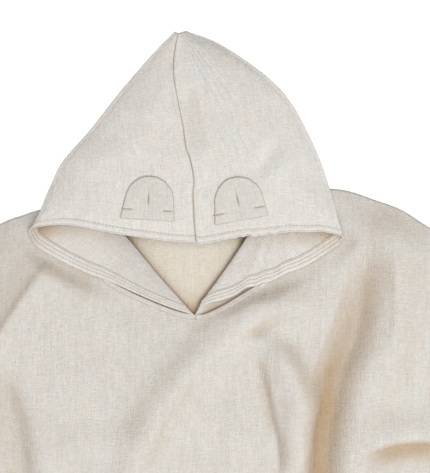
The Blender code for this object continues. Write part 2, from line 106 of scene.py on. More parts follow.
LEFT_NECK = [(-95, 104), (-94, 75), (-90.5, 48), (-83, 31.5), (-57, 17), (-30, 5.4), (-12, -0.6),
             (0.5, -2.4)]
RIGHT_NECK = [(80, 104), (79.2, 75), (76, 48), (66, 30), (57, 24.4), (41.6, 15), (26, 5.8), (10.7, -1.2),
              (0.5, -2.4)]
LEFT_SHOULDER = [(-WIDEST, -85), (-312, -25), (-290, 28), (-241, 62), (-208, 75.5), (-180, 89),
                 (-165, 94), (-150, 99), (-120, 103), (-95, 104)]
RIGHT_SHOULDER = [(WIDEST, -85), (312, -20), (284, 38), (255, 64), (221, 84.5), (198, 99), (174, 108),
                  (143, 118), (115, 118), (80, 104)]
BACK_SEAM = [(-8, 104), (-14, 268)]
HEM_CORNER = 0.91  # half width at the bottom hem, as a share of the widest half width
HEM_RISE = 18.0  # the bottom hem's ends lie this much higher than its middle
PANEL_CUT = (2 * WIDEST * MM, (max(y for _, y in RIGHT_SHOULDER) - BOTTOM) * MM)  # a panel before it is laid

# ---------------------------------------------------------------- levels and small measures, in millimetres

BAND_ROWS = 26  # rows of a sheet that are enough for a band to lie on
BAND_GAP = 0.3  # between a turned band and the sheet that it goes round
STITCH_DIP = 0.42  # how far a row of stitching pulls a band down
STITCH_DIP_WIDTH = 0.6
HEM_END = 4  # a side hem ends this many rows below the shoulder
HEM_PLY = 0.4  # thickness of a turned hem's visible ply
LAPEL_PLY = 0.45
CREASE_PLY = 0.5
FACING_PLY = 0.6
NECK_RIM_WIDTH = 4.2
CREASE_WIDTH = 14.0
BACK_LEVEL = 0.55  # middle of the back panel's cloth above the floor
FRONT_LEVEL = 9.6  # middle of the front panel's cloth where it lies plain
NECK_LEVEL = 8.2  # the same beside the hood's front edges
OUTLINE_LEVEL = 1.9  # the same at the shoulders' outline
LEAST_LEVEL = 5.4  # no hollow of the front panel goes lower than this
NECK_CALM = 17  # the folds die out over this distance towards the hood's front edges
SHOULDER_ROLL = 30  # the front panel rolls down to its outline over this distance
BACK_ROLL = 20  # and the back panel over this one
FLOOR_LAYER = 1.0  # the hood's lower layer on the floor behind the neck
LAPEL_LEVEL = 11.0
SHOULDER_LAYER = 10.8  # the hood's lower layer on the shoulders
CROWN_BACK = 7.5  # the hood's upper layer near its tip
SIDE_SLOPE = 52  # the upper layer rises to its full height this far from the folded side
SIDE_ROUND = 18  # and a quarter of the way this far from it
LOWER_SLOPE = 24  # the lower layer comes down over this distance
FRONT_SEED = 11.0


def smooth(x):
    x = np.clip(x, 0.0, 1.0)
    return x * x * (3 - 2 * x)


def mix(a, b, share):
    return a + (b - a) * share


def bump(distance, width):
    """A soft rounded hump across a line."""
    return np.exp(-((distance / width) ** 2))


def along(points, shares):
    """Points at these shares of the length of a smooth curve through the points."""
    p = np.array(points, float)
    if len(p) == 2:
        return p[0] + (p[1] - p[0]) * np.asarray(shares)[:, None]
    p = np.vstack([2 * p[0] - p[1], p, 2 * p[-1] - p[-2]])
    t = np.linspace(0, 1, 24, endpoint=False)[:, None]
    pieces = []
    for a, b, c, d in zip(p, p[1:], p[2:], p[3:]):
        square = (2 * a - 5 * b + 4 * c - d) * t**2
        cube = (3 * b - a - 3 * c + d) * t**3
        pieces.append(0.5 * (2 * b + (c - a) * t + square + cube))
    dense = np.vstack([*pieces, p[-2]])
    reach = np.concatenate([[0], np.cumsum(np.linalg.norm(np.diff(dense, axis=0), axis=1))])
    goal = np.asarray(shares) * reach[-1]
    return np.stack([np.interp(goal, reach, dense[:, k]) for k in range(dense.shape[1])], axis=1)


def length_of(points):
    dense = along(points, np.linspace(0, 1, 200))
    return np.linalg.norm(np.diff(dense, axis=0), axis=1).sum()


def off_line(x, y, line):
    """Signed distance to a line, positive on the left of its way, and the share of it that is passed."""
    dense = along(line, np.linspace(0, 1, 60))
    best = np.full(x.shape, np.inf)
    side = np.zeros(x.shape)
    share = np.zeros(x.shape)
    for k, (a, b) in enumerate(zip(dense, dense[1:])):
        dx, dy = b - a
        t = np.clip(((x - a[0]) * dx + (y - a[1]) * dy) / (dx * dx + dy * dy), 0, 1)
        away = np.hypot(x - a[0] - t * dx, y - a[1] - t * dy)
        nearer = away < best
        turn = dx * (y - a[1]) - dy * (x - a[0])
        best = np.where(nearer, away, best)
        side = np.where(nearer, np.where(turn >= 0, 1.0, -1.0), side)
        share = np.where(nearer, (k + t) / (len(dense) - 1), share)
    return best * side, share


def fold(x, y, line, height, left, right, fades=(0.3, 0.3), power=(2, 2)):
    """A fold along a line: its height, the width of its left and right slopes, and how its ends fade."""
    away, share = off_line(x, y, line)
    ends = smooth(share / fades[0]) * smooth((1 - share) / fades[1])
    slope = np.abs(away) / np.where(away > 0, left, right)
    return height * ends * np.exp(-(slope ** np.where(away > 0, power[0], power[1])))


def ripple(x, y, scale, seed):
    """Smooth noise, about -1 to 1, with features of this size."""
    flat = [
        noise.noise(Vector((a / scale, b / scale, seed)))
        for a, b in zip(np.ravel(x).tolist(), np.ravel(y).tolist())
    ]
    return np.reshape(flat, np.shape(x))


def crinkle(x, y, seed, broad, middle, fine):
    """The small unevenness of washed muslin, in millimetres."""
    return (
        broad * ripple(x, y, 42, seed)
        + middle * ripple(x, y * 0.6, 13, seed + 3)
        + fine * ripple(x * 1.3, y * 0.5, 4.5, seed + 7)
    )


# ---------------------------------------------------------------- making meshes


def new_object(name, points, faces):
    """A smooth object from points in millimetres from the neck point."""
    mesh = bpy.data.meshes.new(name)
    mesh.from_pydata(((np.asarray(points) + (0, NECK_Y, 0)) * MM).tolist(), [], faces)
    mesh.shade_smooth()
    made = bpy.data.objects.new(name, mesh)
    bpy.context.scene.collection.objects.link(made)
    return made


def give_weave(mesh, weave, warm):
    """The weave's coordinates and the painted shade at each point."""
    uv = mesh.uv_layers.new(name="weave")
    corner = np.array([loop.vertex_index for loop in mesh.loops])
    uv.data.foreach_set("uv", (weave.reshape(-1, 2)[corner] * MM).ravel())
    # painted shade: a tint towards a darker tan where shade falls in creases and hollows
    if warm is not None:
        shade = mesh.attributes.new("warm", "FLOAT", "POINT")
        shade.data.foreach_set("value", np.clip(warm, 0, 1).ravel())


def new_sheet(name, points, weave, warm=None):
    """A sheet from a grid of points in millimetres, the weave's coordinates and the painted shade at them."""
    rows, columns = points.shape[:2]
    index = np.arange(rows * columns).reshape(rows, columns)
    quads = np.stack([index[:-1, :-1], index[:-1, 1:], index[1:, 1:], index[1:, :-1]], axis=-1)
    made = new_object(name, points.reshape(-1, 3), quads.reshape(-1, 4).tolist())
    give_weave(made.data, weave, None if warm is None else np.broadcast_to(warm, (rows, columns)))
    return made


def activate(obj):
    bpy.ops.object.select_all(action="DESELECT")
    obj.select_set(True)
    bpy.context.view_layer.objects.active = obj


def thicken(obj, thickness):
    """Gives a sheet its thickness in millimetres, half to each side."""
    activate(obj)
    solid = obj.modifiers.new("Thickness", "SOLIDIFY")
    solid.thickness = thickness * MM
    solid.offset = 0.0
    bpy.ops.object.modifier_apply(modifier=solid.name)


def cloth_area(points):
    """Area of a grid of points, in square metres."""
    total = 0.0
    for corner in (points[:-1, :-1], points[1:, 1:]):
        doubled = np.cross(points[1:, :-1] - corner, points[:-1, 1:] - corner)
        total += np.linalg.norm(doubled, axis=-1).sum() / 2
    return float(total) * MM * MM


def turn_with_hood(obj, turn=HOOD_TURN):
    """Bakes a piece's transform into its mesh; the two lines behind the neck point are worked out but not
    used.
    """
    start, end = ((0, (NECK_Y + y) * MM, z * MM) for y, z in turn)
    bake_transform(obj)


def make_up(obj, thickness, kind, turn=HOOD_TURN):
    """Makes a sheet into cloth: thickens it, dresses it and bakes its transform."""
    thicken(obj, thickness)
    dress(obj, kind)
    turn_with_hood(obj, turn)


def normals_of(points):
    """Unit normals of a grid of points."""
    du = np.gradient(points, axis=1)
    dv = np.gradient(points, axis=0)
    n = np.cross(du, dv)
    return n / np.maximum(np.linalg.norm(n, axis=-1, keepdims=True), 1e-9)


def unit(v):
    return v / np.maximum(np.linalg.norm(v, axis=-1, keepdims=True), 1e-9)


def reach_along(points, axis):
    """Distance on the cloth from the first row or column of a grid of points."""
    first = np.take(points, [0], axis=axis)
    return np.cumsum(np.linalg.norm(np.diff(points, axis=axis, prepend=first), axis=2), axis=axis)


def follow(sheet, distances):
    """Places and normals on a sheet at these distances from its first row, column by column."""
    sheet = sheet[:BAND_ROWS]
    reach = reach_along(sheet, 0)
    normals = normals_of(sheet)
    before = np.minimum(distances, 0)[:, None, None] * unit(sheet[2] - sheet[0])[None]
    places = np.empty((len(distances), sheet.shape[1], 3))
    facing = np.empty_like(places)
    for column in range(sheet.shape[1]):
        for k in range(3):
            places[:, column, k] = np.interp(distances, reach[:, column], sheet[:, column, k])
            facing[:, column, k] = np.interp(distances, reach[:, column], normals[:, column, k])
    return places + before, unit(facing)


def band(name, sheet, side, width, thickness, grooves=(), warm=0.0):
    """A folded band round a sheet's first row: over the edge, and back on one face of the sheet."""
    r = thickness / 2 + BAND_GAP
    path = [(0.6, -r)]
    path += [(-r * math.cos(a) * 0.8, r * math.sin(a)) for a in np.radians((-60, -30, 0, 30, 60))]
    for d in np.linspace(0.5, width - 0.6, 3 + 9 * max(1, len(grooves))):
        path.append((d, r + 0.14 - STITCH_DIP * sum(bump(d - g, STITCH_DIP_WIDTH) for g in grooves)))
    path += [(width, r - 0.4)]
    across = np.array([d for d, _ in path])
    rise = np.array([h for _, h in path])[:, None, None]
    places, facing = follow(sheet, across)
    points = places + facing * side * rise
    reach = np.concatenate([[0], np.cumsum(np.linalg.norm(np.diff(sheet[0], axis=0), axis=1))])
    weave = np.stack(np.broadcast_arrays(reach[None, :], across[:, None]), axis=-1)
    # painted shade in the stitching's grooves and along the band's inner edge, with any more that is given
    shade = sum((0.42 * bump(across - g, STITCH_DIP_WIDTH) for g in grooves), 0 * across)[:, None]
    shade = shade + 0.35 * bump(across - width, 0.8)[:, None] + warm
    rows = [points[np.argmin(np.abs(across - g))] for g in grooves]
    return new_sheet(name, points, weave, np.broadcast_to(shade, points.shape[:2])), rows


# ---------------------------------------------------------------- heights of the cloth


HOLLOW = [(178, 92), (165, 50), (152, 1), (145, -18), (134, -44), (128, -63), (125, -82), (121, -104),
          (118, -124), (115, -150), (114, -200), (116, -240)]  # middle of the deep hollow in the front

# Folds of the front panel: the line, the height (negative for a hollow), the width of the slopes on the
# left and right of its way, the shares of it that its ends take to fade, and each slope's squareness.
FRONT_FOLDS = (
    # the long fold from the right shoulder down, and the deep hollow on its left
    ([(170, 112), (187, 61), (190, 13), (185, -25), (172, -60), (160, -95), (154, -135), (156, -240),
      (150, -330)], 12, 30, 34, (0.12, 0.35)),
    ([(60, -10), (78, -34), (92, -58), (99, -84), (97, -106), (98, -135), (92, -200)], 12.5, 13, 22,
     (0.25, 0.4)),
    (HOLLOW, -15, 17, 12, (0.5, 0.2), (2, 4)),
    ([(187, 70), (191, 14), (191, -8), (184, -30), (170, -50)], 3.6, 12, 5, (0.3, 0.4), (1.3, 1.3)),
    ([(176, 92), (165, 50), (153, 13), (142, -30), (132, -58)], -2.5, 16, 12, (0.4, 0.3)),
    # the fold that crosses the chest, and the hollows below it
    ([(150, 16), (118, 10), (87, 6), (58, 0), (28, -22), (5, -44), (-19, -72), (-43, -110), (-62, -160),
      (-75, -230)], 9.5, 17, 21, (0.2, 0.3)),
    ([(44, -44), (26, -76), (20, -110), (16, -160)], -3, 12, 14),
    ([(48, -38), (60, -52), (67, -72), (72, -96), (79, -130), (80, -170)], -5.5, 4, 8, (0.25, 0.3)),
    ([(-176, -150), (-120, -128), (-60, -118), (0, -126)], 2.5, 20, 14),
    # the left side
    ([(-130, 62), (-136, 54), (-155, 26), (-171, 2), (-187, -24), (-205, -58), (-214, -110)], 8, 70, 30,
     (0.16, 0.3), (2, 1.4)),
    ([(-132, 58), (-155, 26), (-171, 2), (-187, -24), (-200, -48)], 4.2, 12, 4, (0.16, 0.3), (1.3, 1.2)),
    ([(-192, -40), (-181, -80), (-173, -125), (-168, -190)], -7, 14, 10, (0.25, 0.25)),
    ([(-158, -60), (-148, -110), (-142, -170), (-150, -240)], 5, 16, 18),
    # the lower right fold, with its crisp lower edge
    ([(150, -132), (185, -121), (225, -119), (262, -126)], 9, 26, 3.5, (0.3, 0.3), (2, 3)),
    # the folds that run out at the bottom hem
    *((line, height, 26, 20, (0.35, 0.01)) for line, height in (
        ([(-20, -230), (-34, -320), (-40, -400), (-42, BOTTOM)], 9),
        ([(-120, -210), (-138, -320), (-150, BOTTOM)], 8),
        ([(-215, -120), (-232, -230), (-228, -340), (-232, BOTTOM)], 9),
        ([(60, -200), (72, -300), (66, BOTTOM)], 8),
        ([(160, -260), (172, -350), (168, BOTTOM)], 9),
        ([(246, -40), (262, -130), (254, -260), (246, BOTTOM)], 9),
    )),
)
# Round dents of the front panel: the place, the radius and the depth.
FRONT_DENTS = (((-104, 35), 9, 2.2), ((182, -88), 20, 4), ((-60, 4), 22, 1.5))

# Painted shade in the front panel's hollows, given as its folds are.
PAINTED_SHADE_FOLDS = (
    (HOLLOW, 1.0, 12.5, 10.5, (0.7, 0.25), (2.6, 4)),
    (HOLLOW, 0.16, 16, 16, (0.3, 0.25)),
    ([(56, -48), (67, -76), (76, -124)], 0.34, 3.5, 5, (0.4, 0.3)),
    ([(150, -143), (185, -131), (225, -128.5), (262, -136)], 0.8, 5.5, 12, (0.35, 0.3), (4, 2)),
    ([(-142, 50), (-162, 22), (-178, 0), (-194, -26), (-209, -58)], 0.2, 3, 42, (0.2, 0.4)),
    ([(-192, -40), (-181, -80), (-173, -125), (-168, -190)], 0.2, 12, 12),
)

# Folds and dents of the hood's upper layer, given in the same way.
CROWN_FOLDS = (
    ([(-6, 222), (-2, 192), (4, 165), (8, 146)], -2.6, 9, 9),
    ([(50, 128), (62, 138), (76, 158), (88, 176)], -2.4, 7, 8),
    ([(72, 120), (84, 140), (98, 160)], 1.6, 10, 10),
    ([(-30, 246), (-34, 214), (-50, 176)], 1.8, 12, 14),
    ([(-60, 150), (-90, 128), (-116, 112)], -1.5, 12, 12),
)
CROWN_DENTS = (((-9, 130), 6, 1.2), ((8, 118), 9, 1.0))


def shaped(x, y, z, folds, dents=()):
    """A height with these folds and dents added to it."""
    z = z + 0 * x
    for line, *shape in folds:
        z = z + fold(x, y, line, *shape)
    for place, radius, depth in dents:
        z = z - depth * bump(np.hypot(x - place[0], y - place[1]), radius)
    return z


def front_height(x, y):
    """Middle of the front panel's cloth, in millimetres above the floor, before it meets its edges."""
    z = shaped(x, y, FRONT_LEVEL, FRONT_FOLDS, FRONT_DENTS)
    pinch = bump(x - 61, 9) * bump(y + 17 - 0.2 * (x - 61), 4.5)
    return z - 4.2 * pinch


def from_shoulders(x, y):
    """Distance to the nearer shoulder's outline."""
    return np.minimum(*(np.abs(off_line(x, y, line)[0]) for line in (LEFT_SHOULDER, RIGHT_SHOULDER)))


def front_surface(x, y):
    """The front panel's cloth: its height with the calm round the neck and the roll-off at its outline."""
    neck, _ = off_line(x, y, [*LEFT_HEM, (0.6, -1), *RIGHT_HEM[::-1]])
    calm = smooth((np.abs(neck) - 2) / NECK_CALM)
    calm = np.where(inside_neck(x, y), 0.0, calm)
    z = mix(NECK_LEVEL, front_height(x, y), calm)
    shoulder = from_shoulders(x, y)
    z = mix(OUTLINE_LEVEL, z, np.sqrt(smooth(shoulder / SHOULDER_ROLL)))
    z = z + smooth(shoulder / 8) * mix(0.3, 1.0, calm) * crinkle(x, y, FRONT_SEED, 0.9, 0.3, 0.12)
    least = mix(OUTLINE_LEVEL, LEAST_LEVEL, smooth(shoulder / 12))
    firm = 1.5  # how firmly the hollows are held up at the least height
    return least + np.log1p(np.exp(np.clip((z - least) * firm, -30, 30))) / firm


def front_painted_shade(x, y):
    """Painted shade where the front panel's cloth lies in a hollow or beside an edge."""
    warm = shaped(x, y, 0.0, PAINTED_SHADE_FOLDS) + 0.4 * bump(x - 61, 8) * bump(y + 18, 4)
    # painted shadow under the lapels' hems, and painted shade in the dent below the left lapel
    edge, _ = off_line(x, y, [*LEFT_HEM, *RIGHT_HEM[::-1]])
    beside_hem = 0.3 * bump(edge, 2.4) + 0.1 * bump(edge, 10)
    return warm + beside_hem + 0.25 * bump(np.hypot(x + 108, y - 33), 10)


def inside_neck(x, y):
    """Whether a point lies behind the lapels' outer edges."""
    edge = np.interp(x, [-157, -100, -57, 0, 57, 98, 140], [78, 38, 20, -2, 26, 43, 73], left=300, right=300)
    return y > edge


# ---------------------------------------------------------------- materials


class Socket:
    """A node's output that can be used in sums. Each operation adds its Math node."""

    def __init__(self, finish, out):
        self.finish = finish
        self.out = out

    def math(self, operation, *others):
        return self.finish.node("ShaderNodeMath", {"operation": operation}, [self, *others])

    def __add__(self, other):
        return self.math("ADD", other)

    def __mul__(self, other):
        return self.math("MULTIPLY", other)

    def __sub__(self, other):
        return self.math("SUBTRACT", other)

    def __rsub__(self, other):
        return self.finish.node("ShaderNodeMath", {"operation": "SUBTRACT"}, [other, self])

    def sine(self):
        return self.math("SINE")


class Finish:
    """A material's node tree, with one way to add a node."""

    def __init__(self, name):
        self.material = bpy.data.materials.new(name)
        self.material.use_nodes = True
        self.tree = self.material.node_tree
        self.shader = self.tree.nodes["Principled BSDF"]

    def connect(self, value, socket):
        if isinstance(value, Socket):
            self.tree.links.new(value.out, socket)
        elif value is not None:
            socket.default_value = value

    def node(self, kind, settings=None, inputs=(), output=0):
        made = self.tree.nodes.new(kind)
        for key, value in (settings or {}).items():
            setattr(made, key, value)
        pairs = inputs.items() if isinstance(inputs, dict) else enumerate(inputs)
        for key, value in pairs:
            self.connect(value, made.inputs[key])
        return Socket(self, made.outputs[output])

    def mixed(self, share, first, second):
        """The first colour turned into the second by this share."""
        settings = {"data_type": "RGBA", "clamp_factor": True}
        return self.node("ShaderNodeMix", settings, {0: share, 6: first, 7: second}, 2)

    def noise(self, place, scale, detail):
        return self.node("ShaderNodeTexNoise", {}, {"Vector": place, "Scale": scale, "Detail": detail})

    def set(self, **values):
        """Sets the shader's inputs, named with underscores for their blanks."""
        for name, value in values.items():
            self.connect(value, self.shader.inputs[name.replace("_", " ")])

    def relief(self, strength, distance, height):
        inputs = {"Strength": strength, "Distance": distance, "Height": height}
        self.set(Normal=self.node("ShaderNodeBump", {}, inputs))


def threads(finish, uv, pitch, axis):
    """The rise and fall of the yarns that run across one axis of the weave."""
    part = finish.node("ShaderNodeSeparateXYZ", {}, [uv], axis)
    return (part * (2 * math.pi / (pitch * MM))).sine() * 0.5 + 0.5


def streaks(finish, uv, length, width, axis, detail=3.0):
    """Uneven yarns: noise drawn out along one axis of the weave."""
    long, short = 1 / (length * MM), 1 / (width * MM)
    scale = (long, short, 1) if axis == 0 else (short, long, 1)
    place = finish.node("ShaderNodeMapping", {}, {"Vector": uv, "Scale": scale})
    return finish.noise(place, 1.0, detail)


WARP, WEFT = 0.72, 0.78  # distance between two yarns each way, in millimetres
ROSY = (0.985, 0.915, 0.865, 1.0)  # how the undyed cotton's tint drifts
GREENISH = (0.945, 0.975, 0.965, 1.0)


def muslin(name, tint, shade, painted_shade_colour):
    """Undyed cotton gauze: two sets of fine yarns, uneven and slightly crinkled, with a cloudy tint."""
    finish = Finish(name)
    uv = finish.node("ShaderNodeUVMap", {"uv_map": "weave"})
    warp = threads(finish, uv, WARP, 0)
    weft = threads(finish, uv, WEFT, 1)
    across = streaks(finish, uv, 9, 1.0, 0)
    down = streaks(finish, uv, 18, 1.1, 1)
    coarse = streaks(finish, uv, 90, 4.0, 1, 2.0)
    cloud = streaks(finish, uv, 38, 30, 0, 2.0)
    speck = streaks(finish, uv, 1.7, 1.7, 0, 1.0)
    blotch = streaks(finish, uv, 26, 20, 1, 3.0)
    crepe = streaks(finish, uv, 4.5, 1.6, 1, 2.0)
    slubs = across * 0.5 + down * 0.5
    depth = (slubs - 0.5) * 2.6 + (speck - 0.5) * 0.7 + (coarse - 0.5) * 0.7 + (cloud - 0.5) * 0.5
    colour = finish.mixed(depth - warp * weft * 0.16 + 0.66, shade, tint)
    colour = finish.mixed((blotch - 0.47) * 2.0, colour, [c * f for c, f in zip(tint, ROSY)])
    colour = finish.mixed((0.47 - blotch) * 2.4, colour, [c * f for c, f in zip(tint, GREENISH)])
    # painted shade: each point's painted shade, a little patchy with the yarns, tints the cloth towards the
    # colour of the painted shade
    hollow = finish.node("ShaderNodeAttribute", {"attribute_name": "warm"}, output=2)
    patchy = hollow * ((cloud - 0.5) * 0.5 + (slubs - 0.5) * 0.8 + 1.0)
    finish.set(Base_Color=finish.mixed(patchy, colour, painted_shade_colour), Roughness=0.95)
    finish.set(Specular_IOR_Level=0.12, Sheen_Weight=0.12, Sheen_Roughness=0.6)
    finish.relief(0.9, 0.0006, (warp + weft) * 0.3 + slubs * 2.4 + coarse * 0.5 + crepe * 1.2 + speck * 0.4)
    return finish.material


def sewing_thread(name, tint, shade):
    """Twisted cotton thread."""
    finish = Finish(name)
    twist = finish.noise(finish.node("ShaderNodeTexCoord", output=3), 900.0, 1.0)
    finish.set(Base_Color=finish.mixed(twist, shade, tint), Roughness=0.8, Specular_IOR_Level=0.2)
    finish.relief(0.4, 0.0002, twist)
    return finish.material


def plain_floor(name, tint):
    """A white surface, a little brighter than its light so that it shows white."""
    finish = Finish(name)
    grain = finish.noise(finish.node("ShaderNodeTexCoord", output=3), 30.0, 2.0)
    finish.set(Base_Color=tint, Roughness=grain * 0.1 + 0.8)
    finish.set(Emission_Color=(1.0, 1.0, 1.0, 1.0), Emission_Strength=0.45)
    return finish.material


def rgba(colour, factor=1.0):
    return (*(c * factor for c in colour), 1.0)


FINISHES = {}


def finish_for(kind):
    """The material of this kind, made once from the towel's colours."""
    if kind not in FINISHES:
        colours = bpy.context.scene.towel_colours
        tint = getattr(colours, kind)
        if kind == "thread":
            FINISHES[kind] = sewing_thread("cotton_thread", rgba(tint), rgba(tint, 0.7))
        elif kind == "floor":
            FINISHES[kind] = plain_floor("white_floor", rgba(tint))
        else:
            shade = getattr(colours, f"{kind}_shade")
            FINISHES[kind] = muslin(f"{kind}_muslin_cloth", rgba(tint), rgba(shade), rgba(colours.painted_shade_colour))
    return FINISHES[kind]


def dress(obj, kind):
    obj.data.materials.clear()
    obj.data.materials.append(finish_for(kind))


# ---------------------------------------------------------------- settings


def size(label, default, what):
    return FloatProperty(name=label, default=default, unit="LENGTH", precision=5, description=what)


def tint(label, default, what):
    return FloatVectorProperty(name=label, default=default, subtype="COLOR", min=0, max=1, description=what)


class TowelSizes(bpy.types.PropertyGroup):
    cloth: size("Cloth", 0.9 * MM, "Thickness of the two plies of muslin")
    brow_hem: size("Brow hem", 5.5 * MM, "Distance of the brow's stitching from its edge")
    lapel_hem: size("Lapel hem", 11.5 * MM, "Width of the turned hem on the lapels")
    body_hem: size("Body hem", 12 * MM, "Width of the turned hem along the sides and the bottom")
    hood_rise: size("Hood rise", 18.5 * MM, "Height of the hood's upper layer behind the brow")
    ear_width: size("Ear width", 50.5 * MM, "Width of an ear at its base")
    ear_height: size("Ear height", 41.5 * MM, "Height of an ear from its base")
    ear_loft: size("Ear loft", 2.2 * MM, "Thickness of an ear's two plies")
    stitch: size("Stitch", 2.3 * MM, "Length of one machine stitch")
    stitch_gap: size("Stitch gap", 1.2 * MM, "Distance between two stitches")
    thread: size("Thread", 0.42 * MM, "Thickness of the sewing thread")


class TowelColours(bpy.types.PropertyGroup):
    body: tint("Body", (0.705, 0.692, 0.668), "Yarns of the body's muslin")
    body_shade: tint("Body shade", (0.575, 0.545, 0.50), "Gaps between the body's yarns")
    inner: tint("Inside", (0.77, 0.72, 0.64), "Yarns of the back panel's inner face")
    inner_shade: tint("Inside shade", (0.68, 0.62, 0.53), "Gaps between those yarns")
    hood: tint("Hood", (0.79, 0.782, 0.77), "Yarns of the hood's muslin")
    hood_shade: tint("Hood shade", (0.66, 0.635, 0.60), "Gaps between the hood's yarns")
    ear: tint("Ears", (0.715, 0.712, 0.692), "Yarns of the ears' muslin")
    ear_shade: tint("Ear shade", (0.62, 0.605, 0.57), "Gaps between the ears' yarns")
    # painted shade: the colour that the cloth turns to where shade falls in its creases and hollows
    painted_shade_colour: tint("Hollows", (0.47, 0.345, 0.22), "Warm shade of the cloth in its creases and hollows")
    thread: tint("Thread", (0.46, 0.35, 0.235), "Sewing thread")
    floor: tint("Floor", (0.92, 0.92, 0.92), "The surface that the towel lies on")


# ---------------------------------------------------------------- the body's two panels

PANEL_COLUMNS = 230
FRONT_ROWS = 186
BACK_ROWS = 170
ROW_STEP = 2.6  # distance between two rows of the front panel's grid


def panel_top(front):
    """Top edge of a panel, from the left side to the right."""
    left, right = length_of(LEFT_SHOULDER), length_of(RIGHT_SHOULDER)
    if front:
        neck = [LEFT_NECK, RIGHT_NECK]
        runs = [left, length_of(LEFT_NECK), length_of(RIGHT_NECK), right]
        lines = [LEFT_SHOULDER, LEFT_NECK, RIGHT_NECK[::-1], RIGHT_SHOULDER[::-1]]
    else:
        neck = [LEFT_NECK[0], RIGHT_NECK[0]]
        runs = [left, math.dist(*neck), right]
        lines = [LEFT_SHOULDER, neck, RIGHT_SHOULDER[::-1]]
    counts = [max(4, round(PANEL_COLUMNS * run / sum(runs))) for run in runs]
    parts = [along(line, np.linspace(0, 1, n, endpoint=False)) for line, n in zip(lines, counts)]
    return np.vstack([*parts, lines[-1][-1]])


def panel_grid(front, rows):
    """Plan positions of a panel's cloth, from its bottom hem up to its top edge."""
    top = panel_top(front)
    side = np.linspace(-1, 1, len(top))
    bottom = np.stack([WIDEST * HEM_CORNER * side, BOTTOM + HEM_RISE * side**2], axis=1)
    up = np.linspace(0, 1, rows)[:, None, None]
    return mix(bottom[None], top[None], up)


def edge_band(name, points, side, face, width, thickness):
    """A turned hem round the left, right or bottom side of a panel's grid, on its upper or lower face."""
    sheet = {"left": points.swapaxes(0, 1), "right": points.swapaxes(0, 1)[::-1], "bottom": points}[side]
    upward = 1 if normals_of(sheet[:6])[2, len(sheet[0]) // 2, 2] > 0 else -1
    return band(name, sheet, face * upward, width, thickness)[0]


def panel_hems(panel, points, face, kind, thickness, sizes):
    """The turned hems of a panel's sides and bottom."""
    hems = []
    for side in ("left", "right", "bottom"):
        rows = points if side == "bottom" else points[:-HEM_END]
        hem = edge_band(f"{panel}_{side}_turned_hem", rows, side, face, sizes.body_hem / MM, thickness)
        make_up(hem, HEM_PLY, kind, BODY_TURN)
        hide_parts(f"{panel}_{side}_hem")
        hems.append(hem)
    return hems


class TOWEL_OT_back_panel(bpy.types.Operator):
    """Lay the back panel, whose inner face shows in the neck opening"""

    bl_idname = "towel.back_panel"
    bl_label = "Back panel"

    def execute(self, context):
        sizes = context.scene.towel_sizes
        plan = panel_grid(False, BACK_ROWS)
        x, y = plan[..., 0], plan[..., 1]
        lift = smooth(from_shoulders(x, y) / BACK_ROLL) * (0.35 + 0.35 * ripple(x, y, 55, 4.0))
        in_neck = np.exp(-((np.hypot(x + 8, (y - 46) * 0.9) / 60) ** 4))
        neck_corners = bump(x + 80, 9) + bump(x - 67, 8)
        lift = np.maximum(lift, 0) + 4.9 * in_neck + 4.2 * neck_corners * smooth((y - 82) / 14)
        points = np.dstack([plan, BACK_LEVEL + lift])
        # painted shade in the neck opening: under the brow, at the bottom of the V, beside the creases and
        # under the creases' tops
        warm = 0.12 * smooth((y - 56) / 18) + 0.3 * bump(np.hypot(x, y - 4), 12)
        for line in (LEFT_CREASE, RIGHT_CREASE):
            away = off_line(x, y, line)[0]
            warm = warm + 0.55 * bump(away, 3.5) + 0.22 * bump(away, 11)
        warm = warm + 0.5 * bump(y - 74, 8) * (bump(x + 62, 9) + bump(x - 46, 9))
        cloth = new_sheet("back_cloth", points, plan, warm * smooth((90 - y) / 12))
        make_up(cloth, sizes.cloth / MM, "inner", BODY_TURN)
        hems = panel_hems("back", points + (0, 0, 0.45), 1, "inner", 0.1, sizes)
        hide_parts("back_panel", "back_neck_binding")
        cloth_area(points)
        return {"FINISHED"}


